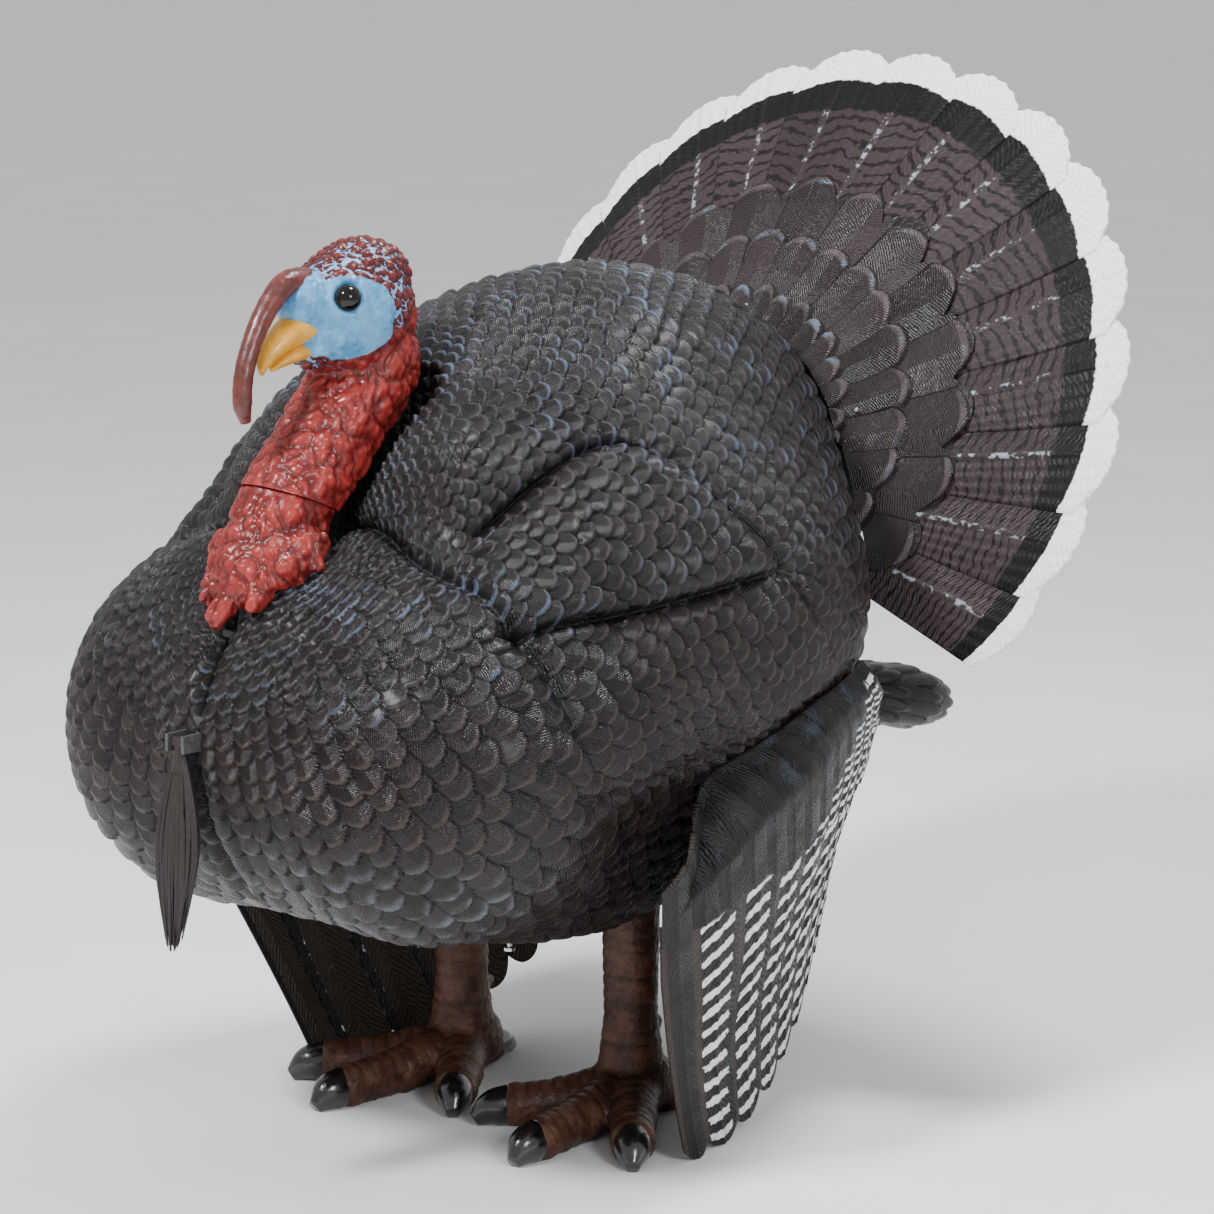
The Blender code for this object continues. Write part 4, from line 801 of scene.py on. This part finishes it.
# ---------------------------------------------------------------- tail fan
def fan_surface(angle, share, lift=0.0):
    """A place of the fan: angle in degrees from its top, share from its apex to its rim."""
    turn = np.radians(angle)
    up = np.array((0.0, math.sin(FAN_TILT), math.cos(FAN_TILT)))
    aside = np.array((1.0, 0.0, 0.0))
    facing = np.array((0.0, -math.cos(FAN_TILT), math.sin(FAN_TILT)))
    rim = FAN_RIM_CENTRE + FAN_RIM_RADIUS * (np.cos(turn)[..., None] * up + np.sin(turn)[..., None] * aside)
    return FAN_APEX + (rim - FAN_APEX) * share[..., None] + facing * lift[..., None]


def rump_share(angle, lift):
    """The share at which a feather's line leaves the rump."""
    one = np.array([angle])
    ends = [fan_surface(one, np.array([share]), np.array([lift]))[0] for share in (0.0, 1.0)]
    line = ends[1] - ends[0]
    length = np.linalg.norm(line)
    return exits((line / length)[None], ends[0])[0] / length


def tail_feathers():
    """Eighteen overlapping feathers with scalloped tips."""
    pitch = 2 * FAN_SPREAD / FAN_FEATHERS
    rows, columns = 150, 33
    for number in range(FAN_FEATHERS):
        centre = -FAN_SPREAD + pitch * (number + 0.5)
        side = 1 if centre > 0 else -1
        a, b = np.meshgrid(np.linspace(0, 1, rows), np.linspace(-1, 1, columns), indexing="ij")
        spread = pitch * (0.56 + 0.1 * smoothstep(a, 0.0, 0.9))
        spread = spread * (1 - 0.3 * smoothstep(a, 0.955, 1.0))
        angle = np.clip(centre + b * spread, -FAN_SPREAD - 1, FAN_SPREAD + 1)
        start = rump_share(centre, 0.0) + 0.012
        jitter = 0.012 * (random_of(number, 5) - 0.5)
        end = 1.0 + jitter - 0.026 * np.abs(b) ** 2.2 + 0.002 * np.sin(b * 17 + number)
        share = start + (end - start) * a
        lift = 0.0012 * b * side - 0.0016 * b**2 + 0.0009 * np.exp(-((b / 0.07) ** 2)) * (1 - a * 0.6)
        ripple = 0.00035 * np.sin(b * 26 + a * 9 + number)
        front = fan_surface(angle, share, lift + ripple + 0.0016)
        back = fan_surface(angle, share, lift - 0.0006)
        tone = np.full(a.shape, random_of(number, 11))
        full = (share - start) / (1.0 - start)
        tipped = full + 0.02 * b**2
        values = {key: (value, value) for key, value in
                  {"along": full, "across": b, "tone": tone, "tipped": tipped}.items()}
        made = sheet(f"tail_feather_{number + 1:02d}", front, back, "tail", "fan", values)
        if number == 9:
            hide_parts("tail_fan")


def covert_tiers():
    """Tiers of rounded coverts over the roots of the tail feathers, in a left and a right half."""
    spread = FAN_SPREAD - 5
    rows, columns = 150, 300
    for side_name, low, high in (("left", 0.0, spread), ("right", -spread, 0.0)):
        angles = np.linspace(low, high, columns)
        starts = np.array([rump_share(angle, 0.01) for angle in angles[::12]])
        starts = np.interp(angles, angles[::12], starts) + 0.004
        t, angle = np.meshgrid(np.linspace(0, 1, rows), angles, indexing="ij")
        lobes = (angle + spread) / (2 * spread) * 15
        b = 2 * (lobes % 1.0) - 1
        ends = 0.672 - 0.05 * np.abs(b) ** 2.2 + 0.012 * (random_of(np.floor(lobes), 3) - 0.5)
        share = starts + (ends - starts) * t
        levels = np.array((0.18, 0.34, 0.47, 0.6))
        counts = np.array((30.0, 24.0, 19.0, 15.0))
        v = (angle + spread) / (2 * spread)
        height, along, across, tone, ridge = scales(share, v, levels, counts, np.full(4, 0.052),
                                                    wrap=False, seed=5)
        lift = 0.004 + 0.005 * height - 0.003 * t
        front = fan_surface(angle, share, lift + 0.0016)
        back = fan_surface(angle, share, np.full(share.shape, 0.0035))
        # sheen sets the painted blue glints, stronger higher up the fan.
        sheen = 0.35 + 0.65 * smoothstep(front[..., 2], 0.36, 0.55)
        values = {key: (value, value) for key, value in
                  {"along": along, "across": across, "tone": tone, "ridge": ridge, "sheen": sheen}.items()}
        made = sheet(f"tail_coverts_{side_name}", front, back, "covert", "fan", values)
        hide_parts("upper_tail_coverts")


def undertail():
    """The dark bunch of feathers under the tail."""
    for number, (x, y) in enumerate(((0.0, 0.25), (0.048, 0.25), (0.092, 0.238), (0.126, 0.224))):
        for side in (1, -1) if x else (1,):
            length, width = 0.052, 0.033 + 0.002 * random_of(number, side + 2)
            t, turn = np.meshgrid(np.linspace(0.0, 1.0, 70), np.arange(96) / 96, indexing="ij")
            polar = math.pi * (0.015 + 0.97 * t)
            cells = np.array((0.12, 0.32, 0.52, 0.72, 0.9))
            height, along, across, tone, ridge = scales(t, turn, cells, np.array((10.0, 12, 12, 10, 8)),
                                                        np.full(5, 0.2), seed=number)
            radius = 1.0 + 0.16 * height
            lean = math.radians(-12)
            local = np.stack([np.sin(polar) * np.sin(turn * 2 * math.pi) * width * radius,
                              -np.cos(polar) * length,
                              np.sin(polar) * np.cos(turn * 2 * math.pi) * 0.0205 * radius], -1)
            tilt = np.array(((1, 0, 0), (0, math.cos(lean), -math.sin(lean)),
                             (0, math.sin(lean), math.cos(lean))))
            points = local @ tilt.T + np.array((x * side, y, 0.272 - 0.35 * (y - 0.2)))
            name = f"undertail_{number}{'a' if side > 0 else 'b'}"
            values = {"along": along, "across": across, "tone": tone * 0.7, "ridge": ridge * 0.5,
                      "sheen": np.full(t.shape, 0.25), "pale": np.zeros(t.shape),
                      "deep": np.zeros(t.shape)}
            made = make_mesh(name, points.reshape(-1, 3), grid_quads(70, 96, wrap=True), "feather",
                             "decoy_body", values)
            if not x:
                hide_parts("undertail_coverts")


# ---------------------------------------------------------------- wings
def along_path(points, share):
    """Places at shares of a polyline's length, for an array of shares."""
    points = np.array(points)
    steps = np.linalg.norm(np.diff(points, axis=0), axis=1)
    marks = np.concatenate([[0], np.cumsum(steps)]) / steps.sum()
    return np.stack([np.interp(share, marks, points[:, axis]) for axis in (0, 1)], -1)


def wing_place(back, down):
    top, foot = along_path(WING_TOP, back), along_path(WING_FOOT, back)
    front, rear = along_path(WING_FRONT, down), along_path(WING_REAR, down)
    b, d = back[..., None], down[..., None]
    corners = (np.array(WING_TOP[0]) * (1 - b) * (1 - d) + np.array(WING_TOP[-1]) * b * (1 - d)
               + np.array(WING_FOOT[0]) * (1 - b) * d + np.array(WING_FOOT[-1]) * b * d)
    return top * (1 - d) + foot * d + front * (1 - b) + rear * b - corners


def flank_table():
    """Half-width of the body over a grid of y and z, for quick reading."""
    ys, zs = np.linspace(-0.16, 0.2, 46), np.linspace(0.1, 0.34, 31)
    y, z = np.meshgrid(ys, zs, indexing="ij")
    origins = np.stack([np.zeros(y.size), y.ravel(), z.ravel()], -1)
    inside = lumps_field(origins) < 0
    sideways = np.repeat(np.array(((1.0, 0.0, 0.0),)), y.size, 0)
    reach = np.where(inside, exits(sideways, origins, field=lumps_field), 0.0)
    return ys, zs, reach.reshape(y.shape)


def wing_offset(y, z, table, margin, joined):
    """Distance of the wing from the midline: margin over the flank where joined is 0, hanging clear at 1."""
    ys, zs, reach = table
    i = np.clip((y - ys[0]) / (ys[1] - ys[0]), 0, len(ys) - 1.001)
    j = np.clip((z - zs[0]) / (zs[1] - zs[0]), 0, len(zs) - 1.001)
    i0, j0 = i.astype(int), j.astype(int)
    fi, fj = i - i0, j - j0
    flank = ((reach[i0, j0] * (1 - fi) + reach[i0 + 1, j0] * fi) * (1 - fj)
             + (reach[i0, j0 + 1] * (1 - fi) + reach[i0 + 1, j0 + 1] * fi) * fj)
    flank = np.where(z < zs[0], 0.0, flank)
    back = y + 0.1
    hanging = 0.176 - 0.05 * back - 0.95 * back**2 + 0.04 * (np.maximum(z, 0) / 0.2) ** 1.5
    clear = 0.004 * np.logaddexp(hanging / 0.004, (flank + margin) / 0.004)
    return flank + margin + (clear - flank - margin) * joined


def wing_layer(name, side, table, span, columns, lift, bars, replaced):
    """One layer of flight feathers. span gives its upper and lower edge at each place from front (0) to
    rear (1), columns the feathers' edges, and bars the bars' spacing and where they are painted."""
    back, t = np.meshgrid(np.linspace(0, 1, 240), np.linspace(0, 1, 190), indexing="ij")
    upper, lower = span(back)
    down = upper + (lower - upper) * t
    edges = np.array(columns)
    column = np.clip(np.searchsorted(edges, back, side="right") - 1, 0, len(edges) - 2)
    low, high = edges[column], edges[column + 1]
    b = 2 * (back - low) / (high - low) - 1
    notch = 1.0 - 0.045 * np.abs(b) ** 2.5 * smoothstep(t, 0.88, 1.0)
    rear = smoothstep(back, 0.88, 1.0)
    shrink = 1 - 0.035 * rear * np.abs(np.sin(down * 21)) ** 0.7
    middle = wing_place(back * shrink, down * notch)
    y, z = middle[..., 0], np.maximum(middle[..., 1], 0.0005)
    margin = 0.002 + 0.0115 * smoothstep(down, 0.0, 0.07)
    joined = np.maximum(smoothstep(down, 0.0, 0.13), smoothstep(back, 0.42, 0.04))
    spot = np.stack([wing_offset(y, z, table, margin, joined), y, z], -1)
    normal = normals_of(spot)
    normal *= np.sign(normal[..., :1])
    relief = 0.0015 * b + 0.0009 * np.exp(-(b / 0.1) ** 2) - 0.0008 * b**2
    outer = spot + normal * (lift + relief)[..., None]
    inner = spot - normal * (0.0012 + 0.5 * relief - 0.3 * lift)[..., None]
    spacing, painted = bars
    inside = (t < 1) & (back < 1)
    phase = down * spacing + random_of(column, 4) * 0.4 + 0.13 * b
    # sheen sets the painted blue sheen, rising towards the top of the wing.
    values = {"along": phase, "across": b, "tone": random_of(column, 21), "run": down * 0.27,
              "barred": painted(back, t) * inside, "outer": np.ones(back.shape),
              "sheen": smoothstep(z, 0.16, 0.27)}
    values = {key: (value, value * (key not in ("barred", "outer"))) for key, value in values.items()}
    for grid in (outer, inner):
        grid[..., 0] *= side
        grid[..., 2] = np.maximum(grid[..., 2], 0.0)
    if side > 0:
        outer, inner = outer[:, ::-1], inner[:, ::-1]
        values = {key: (one[:, ::-1], two[:, ::-1]) for key, (one, two) in values.items()}
    made = sheet(name, outer, inner, "wing", "decoy_body", values)
    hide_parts(replaced)


def primary_span(back):
    return 0.12 + 0.26 * back, 1.0 + 0 * back


def secondary_span(back):
    return 0 * back, 0.2 + 0.29 * back


def primary_bars(back, t):
    return smoothstep(back, 0.095, 0.105) * smoothstep(t, 0.11, 0.13)


def secondary_bars(back, t):
    return smoothstep(back - 0.93 + 0.36 * t, 0.0, 0.02) * smoothstep(t, 0.05, 0.12)


def wings():
    table = flank_table()
    quills = (0.0, 0.1, 0.27, 0.42, 0.55, 0.67, 0.78, 0.89, 1.001)
    upper_quills = (0.0, 0.09, 0.18, 0.27, 0.36, 0.44, 0.52, 0.59, 0.66, 0.725, 0.79, 0.855, 0.92, 1.001)
    for side_name, side in SIDES:
        wing_layer(f"primaries_{side_name}", side, table, primary_span, quills, 0.001,
                   (17.0, primary_bars), f"wing_{side_name}")
        wing_layer(f"secondaries_{side_name}", side, table, secondary_span, upper_quills, 0.003,
                   (27.0, secondary_bars), f"wing_{side_name}")


# ---------------------------------------------------------------- head, neck and wattles
HEAD_LUMPS = (
    ((0.0, -0.182, 0.556), (0.035, 0.048, 0.044)),
    ((0.0, -0.174, 0.577), (0.028, 0.038, 0.027)),
    ((0.0, -0.168, 0.524), (0.032, 0.0365, 0.035)),
    ((0.0, -0.222, 0.566), (0.0185, 0.0195, 0.0215)),
    ((0.0, -0.212, 0.54), (0.0195, 0.0215, 0.0175)),
    (tuple(NECK_TOP), tuple(NECK_FOOT + (NECK_FOOT - NECK_TOP) * 0.1), 0.032, 0.031),
)
BIB_LUMPS = (
    (tuple(NECK_FOOT), (0.0, -0.262, 0.402), 0.03, 0.031),
    (tuple(NECK_FOOT + (NECK_TOP - NECK_FOOT) * 0.12), tuple(NECK_FOOT), 0.03, 0.03),
    (tuple(NECK_FOOT), (0.03, 0.03, 0.03)),
    ((0.0, -0.276, 0.404), (0.024, 0.02, 0.022)),
    ((0.02, -0.262, 0.409), (0.019, 0.022, 0.02)),
    ((-0.02, -0.262, 0.409), (0.019, 0.022, 0.02)),
    ((0.004, -0.286, 0.398), (-0.003, -0.305, 0.371), 0.013, 0.0045),
    ((0.018, -0.276, 0.404), (0.021, -0.294, 0.383), 0.012, 0.0045),
    ((-0.018, -0.276, 0.404), (-0.021, -0.294, 0.383), 0.012, 0.0045),
    ((0.029, -0.248, 0.424), (0.04, -0.256, 0.404), 0.012, 0.0045),
    ((-0.029, -0.248, 0.424), (-0.04, -0.256, 0.404), 0.012, 0.0045),
)


def bumps(points, cell, stretch=(1.0, 1.0, 1.0)):
    """Rounded lumps about cell across, from 0 in the creases to 1 on the crowns."""
    scaled = points / cell * np.array(stretch)
    found = np.empty(len(points))
    for index, point in enumerate(scaled):
        near = noise.voronoi(point)[0]
        found[index] = near[1] - near[0]
    return np.clip(found * 1.6, 0, 1) ** 0.65


def wattle_lumps(points):
    sway = np.array([noise.noise(Vector(point) * 60) for point in points])[:, None] * 0.005
    big = bumps(points + sway, 0.012, (1.15, 1.0, 0.62))
    small = bumps(points + 0.31 + sway, 0.0062, (1.1, 1.0, 0.7))
    return 0.6 * big + 0.4 * small


def seam(points, radius, inner, outer, side):
    """Keeps the points above (side 1) or below (side -1) the stepped joint of the neck."""
    level = (points - NECK_JOINT) @ NECK_AXIS
    off = points - NECK_JOINT - level[:, None] * NECK_AXIS
    limit = np.where(np.linalg.norm(off, axis=1) < radius, inner, outer)
    move = np.maximum((limit - level) * side, 0) * side
    return points + move[:, None] * NECK_AXIS


def head():
    made = lump_mesh("head_skin", HEAD_LUMPS, LUMP_VOXEL, 6)
    points, normals = mesh_arrays(made.data)
    x, y, z = np.abs(points[:, 0]), points[:, 1], points[:, 2]
    ahead = np.array((0.0, -NECK_AXIS[2], NECK_AXIS[1]))
    height = (points - NECK_JOINT) @ NECK_AXIS
    cheek = np.sqrt(((y + 0.206) / 0.031) ** 2 + ((z - 0.557) / 0.026) ** 2)
    jaw = smoothstep(z - 0.35 * (y + 0.2), 0.527, 0.537)
    face = smoothstep(cheek, 1.18, 0.8) * jaw
    face = np.maximum(face, smoothstep(y, -0.205, -0.225) * smoothstep(z, 0.528, 0.54) * 0.8)
    crown = smoothstep(z - 0.55 * (y + 0.18), 0.535, 0.552)
    neck = 1 - crown
    lump = wattle_lumps(points)
    fine = bumps(points + 0.7, 0.0068)
    eye = np.sqrt((x - EYE[0]) ** 2 + (y - EYE[1]) ** 2 + (z - EYE[2]) ** 2)
    lid = np.exp(-(((eye - 0.0112) / 0.0019) ** 2))
    brow = np.exp(-(((y + 0.212) / 0.016) ** 2 + ((z - 0.584) / 0.0045) ** 2)) * smoothstep(x, 0.008, 0.016)
    socket = smoothstep(eye, 0.0105, 0.0085)
    ear = np.exp(-(((y + 0.176) / 0.0045) ** 2 + ((z - 0.553) / 0.0055) ** 2)) * smoothstep(x, 0.015, 0.025)
    soft = 1 - face
    lift = soft * (neck * 0.0046 * (lump - 0.5) + crown * 0.003 * (fine - 0.45))
    lift += face * 0.0008 * (fine - 0.5) + 0.0012 * lid + 0.0012 * brow - 0.0022 * ear - 0.0012 * socket
    lift *= 1 - 0.7 * smoothstep(height + SKIRT, 0.01, 0.001)
    points = seam(points + normals * lift[:, None], SKIRT_RADIUS, 0.0004, -SKIRT, 1)
    shown = np.where(crown > 0.5, fine, lump)
    values = {"face": face, "crown": crown, "lump": shown}
    finish_lumps(made, points, "skin", "head", values)
    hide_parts("head_and_neck")


def neck_wattles():
    """The draped foot of the neck, fixed to the breast."""
    made = lump_mesh("neck_wattles", BIB_LUMPS, LUMP_VOXEL, 5)
    points, normals = mesh_arrays(made.data)
    lump = wattle_lumps(points)
    level = (points - NECK_JOINT) @ NECK_AXIS + SKIRT
    ease = 1 - 0.7 * smoothstep(level, -0.01, -0.001)
    points = points + normals * (ease * 0.0052 * (lump - 0.45))[:, None]
    points = seam(points, SKIRT_RADIUS - 0.0012, -0.0005, -SKIRT - 0.0004, -1)
    values = {"face": np.zeros(len(points)), "crown": np.zeros(len(points)), "lump": lump}
    finish_lumps(made, points, "skin", "decoy_body", values)
    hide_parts("neck_bib")


def face_parts():
    upper = ((0, -0.216, 0.5535), (0, -0.234, 0.55), (0, -0.249, 0.542), (0, -0.259, 0.532),
             (0, -0.2615, 0.5245))
    tube("beak_upper", upper, (0.015, 0.0128, 0.0092, 0.0052, 0.0012), (0.0118, 0.01, 0.0074, 0.0044, 0.0012),
         "beak", "head", rings=26, segments=24)
    lower = ((0, -0.21, 0.5385), (0, -0.228, 0.5372), (0, -0.243, 0.5325), (0, -0.253, 0.5268))
    tube("beak_lower", lower, (0.013, 0.011, 0.0072, 0.0018), (0.0074, 0.0062, 0.0042, 0.0014),
         "beak", "head", rings=22, segments=24)
    path = ((0, -0.214, 0.577), (0, -0.229, 0.58), (0, -0.2425, 0.5775), (0, -0.257, 0.564),
            (0, -0.269, 0.545), (0, -0.2765, 0.525), (0, -0.278, 0.508), (0, -0.2755, 0.4965))
    wide = (0.0095, 0.0092, 0.008, 0.007, 0.0064, 0.0062, 0.006, 0.0034)
    points, quads = tube_points(path, wide, wide, rings=90, segments=28)
    ripple = np.array([noise.noise(Vector(point) * 260) for point in points])
    centre = spline(path, np.repeat(np.linspace(0, 1, 90), 28))
    out = points[:-2] - centre
    points[:-2] += out * 0.06 * ripple[:-2, None]
    made = make_mesh("snood_flesh", points, quads, "snood", "head")
    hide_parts("snood")
    for side_name, side in SIDES:
        bm = bmesh.new()
        bmesh.ops.create_uvsphere(bm, u_segments=48, v_segments=32, radius=EYE_RADIUS,
                                  matrix=Matrix.Translation((EYE[0] * side, EYE[1] + SHIFT, EYE[2])))
        mesh = bpy.data.meshes.new(f"eyeball_{side_name}")
        bm.to_mesh(mesh)
        bm.free()
        mesh.shade_smooth()
        mesh.materials.append(PAINT["eye"])
        ball = new_object(f"eyeball_{side_name}", mesh)
        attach(ball, "head")
        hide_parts(f"eye_{side_name}")
        tube(f"nostril_{side_name}", ((0.0085 * side, -0.2285, 0.56), (0.0078 * side, -0.235, 0.5565)),
             (0.002, 0.0016), (0.0012, 0.001), "snood", "head", rings=8, segments=10)


# ---------------------------------------------------------------- legs
def toe_line(tip, thick):
    """Ankle, knuckle, quick and tip of a toe."""
    tip = np.array((*tip, 0.006))
    along = tip - ANKLE
    reach = np.linalg.norm(along)
    knuckle = ANKLE + along * 0.45
    knuckle[2] = thick * 0.82
    quick = tip - along / reach * 0.026
    quick[2] = thick * 0.74
    return ANKLE, knuckle, quick, tip


def leg_lumps():
    lumps = [((LEG_X, 0, 0.02), (LEG_X, 0, 0.075), 0.0245, 0.018),
             ((LEG_X, 0, 0.06), (LEG_X, 0, 0.185), 0.018, 0.0205),
             ((LEG_X, 0.002, 0.026), (0.0265, 0.0285, 0.026)),
             ((LEG_X, 0.016, 0.062), (0.0075, 0.015, 0.008))]
    for tip in (*TOE_TIPS, HIND_TOE_TIP):
        thick = HIND_TOE_THICK if tip == HIND_TOE_TIP else TOE_THICK
        ankle, knuckle, quick, _ = toe_line(tip, thick)
        lumps.append((tuple(ankle), tuple(knuckle), thick * 1.12, thick * 0.93))
        lumps.append((tuple(knuckle), tuple(quick), thick * 0.93, thick * 0.86))
        lumps.append((tuple(knuckle), (thick,) * 3))
        lumps.append((tuple(quick), (thick * 0.92,) * 3))
    return lumps


def scute_relief(points, normals):
    """Raised plates down the front of the shank and along the top of each toe."""
    flat = points[:, :2] - ANKLE[:2]
    best = np.full(len(points), 9.0)
    run = np.zeros(len(points))
    for tip in (*TOE_TIPS, HIND_TOE_TIP):
        line = np.array(tip) - ANKLE[:2]
        line /= np.linalg.norm(line)
        share = flat @ line
        off = np.abs(flat @ np.array((-line[1], line[0]))) + np.where(share < 0, 0.05, 0.0)
        run = np.where(off < best, share, run)
        best = np.minimum(best, off)
    toe = smoothstep(points[:, 2], 0.046, 0.03)
    place_along = np.where(toe > 0.5, run, points[:, 2])
    phase = place_along / SCUTE_PITCH
    ring = np.abs(np.sin(phase * math.pi)) ** 0.45
    top = np.where(toe > 0.5, smoothstep(normals[:, 2], 0.05, 0.55), smoothstep(-normals[:, 1], -0.15, 0.35))
    pebbles = bumps(points, 0.006)
    groove = (1 - ring) * top + (1 - pebbles) * (1 - top) * 0.7
    return 0.001 * (ring - 0.6) * top + 0.001 * (pebbles - 0.5) * (1 - top), groove


def legs():
    made = lump_mesh("leg_skin_left", leg_lumps(), 0.0017, 4)
    points, normals = mesh_arrays(made.data)
    lift, groove = scute_relief(points, normals)
    points = points + normals * lift[:, None]
    points[:, 2] = np.maximum(points[:, 2], 0.0)
    twin = made.copy()
    twin.data = made.data.copy()
    twin.name = "leg_skin_right"
    bpy.context.scene.collection.objects.link(twin)
    finish_lumps(made, points, "leg", "decoy_body", {"groove": groove})
    mirrored = points * np.array((-1, 1, 1))
    twin.data.flip_normals()
    finish_lumps(twin, mirrored, "leg", "decoy_body", {"groove": groove})
    for piece, side_name in ((made, "left"), (twin, "right")):
        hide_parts(f"leg_{side_name}")
    for side_name, side in SIDES:
        for number, tip in enumerate((*TOE_TIPS, HIND_TOE_TIP), 1):
            thick = HIND_TOE_THICK if tip == HIND_TOE_TIP else TOE_THICK
            _, _, quick, end = toe_line(tip, thick)
            along = (end - quick) / np.linalg.norm(end - quick)
            root = quick + along * 0.004 + np.array((0, 0, 0.0015))
            bend = quick + along * 0.018 + np.array((0, 0, 0.0025))
            end = quick + along * 0.03
            end[2] = 0.0035
            path = np.array((root, bend, end)) * np.array((side, 1, 1))
            made = tube(f"claw_{side_name}_{number}", path, (thick * 0.84, thick * 0.74, 0.005),
                        (thick * 0.76, thick * 0.66, 0.0045), "claw", "decoy_body", rings=24, segments=32,
                        up=(0.0, 0.0, 1.0))
            for vert in made.data.vertices:
                vert.co.z = max(vert.co.z, 0.0)


# ---------------------------------------------------------------- beard
def beard():
    """A flat bunch of bristles hanging from the clip."""
    lean = (BEARD_TIP - BEARD_PIVOT) / np.linalg.norm(BEARD_TIP - BEARD_PIVOT)
    ahead = np.cross(lean, np.array((1.0, 0.0, 0.0)))
    length = np.linalg.norm(BEARD_TIP - BEARD_PIVOT)
    all_points, all_quads, count = [], [], 0
    for number in range(BRISTLES):
        radius = math.sqrt((number + 0.5) / BRISTLES)
        across = radius * math.cos(number * GOLDEN_ANGLE)
        deep = radius * math.sin(number * GOLDEN_ANGLE)
        stretch = 0.8 + 0.18 * float(random_of(number, 9)) - 0.1 * abs(across)
        shares = np.array((0.055, 0.2, 0.45, 0.72, 1.0)) * stretch
        wide = np.array((0.0024, 0.0085, 0.0155, 0.0165, 0.008)) * across
        thick = np.array((0.0022, 0.0038, 0.006, 0.0062, 0.003)) * deep
        waver = np.array([0.0006 * (float(random_of(number, step)) - 0.5) for step in range(5)])
        path = (BEARD_PIVOT + lean * (shares * length)[:, None] + np.outer(wide + waver, (1.0, 0, 0))
                + np.outer(thick, ahead))
        radii = (0.001, 0.0015, 0.0018, 0.0015, 0.0005)
        points, quads = tube_points(path, radii, radii, rings=16, segments=6, up=(0.3, 1.0, 0.0))
        all_points.append(points)
        all_quads.append(quads + count)
        count += len(points)
    made = make_mesh("beard_bristles", np.concatenate(all_points), np.concatenate(all_quads),
                     "beard", "beard")
    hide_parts("beard")


# ---------------------------------------------------------------- hardware and studio
def dress_hardware():
    """Procedural finishes for the CAD pieces that stay in view."""
    for name, node in frame["nodes"].items():
        first = node.data.materials[0].name if node.data.materials else ""
        node.data.materials.clear()
        plastic = name in ("belly_chassis", "stake_socket", "neck_collar", "fan_hub", "fan_bracket",
                           "beard_hanger", "head_retainer")
        paint = "plastic" if plastic or "plastic" in first else "steel"
        node.data.materials.append(PAINT["beard" if name == "beard_clip" else paint])


def area_light(name, where, aim, size, power, colour=(1.0, 1.0, 1.0)):
    data = bpy.data.lights.new(name, "AREA")
    data.shape = "DISK"
    data.size = size
    data.energy = power
    data.color = colour
    lamp = new_object(name, data)
    lamp.location = where
    lamp.rotation_euler = (Vector(aim) - Vector(where)).to_track_quat("-Z", "Y").to_euler()


def studio():
    bpy.ops.mesh.primitive_plane_add(size=90.0, location=(0, 0, 0))
    floor = bpy.context.object
    floor.name = "studio_floor"
    floor.data.materials.append(PAINT["floor"])
    world = bpy.data.worlds.new("soft_room")
    world.use_nodes = True
    world.node_tree.nodes["Background"].inputs["Color"].default_value = (1.0, 0.99, 0.98, 1.0)
    world.node_tree.nodes["Background"].inputs["Strength"].default_value = 0.75
    bpy.context.scene.world = world
    aim = (0.0, 0.0, 0.33)
    area_light("key", (-0.2, -2.1, 2.4), aim, 0.5, 96.0)
    area_light("side", (2.4, -1.0, 1.4), aim, 0.7, 32.0, (0.94, 0.97, 1.0))
    area_light("top", (0.3, 0.5, 2.4), aim, 0.5, 46.0, (0.9, 0.95, 1.0))


def camera():
    data = bpy.data.cameras.new("view")
    data.sensor_width = 36.0
    data.lens = VIEW_LENS
    made = new_object("view", data)
    level = math.cos(VIEW_ELEVATION)
    back = Vector((math.sin(VIEW_AZIMUTH) * level, -math.cos(VIEW_AZIMUTH) * level, math.sin(VIEW_ELEVATION)))
    made.location = Vector(VIEW_AIM) + back * VIEW_DISTANCE
    made.rotation_euler = (-back).to_track_quat("-Z", "Y").to_euler()
    bpy.context.scene.camera = made


body_skins()
tail_feathers()
covert_tiers()
undertail()
wings()
head()
neck_wattles()
face_parts()
legs()
beard()
dress_hardware()
studio()
camera()
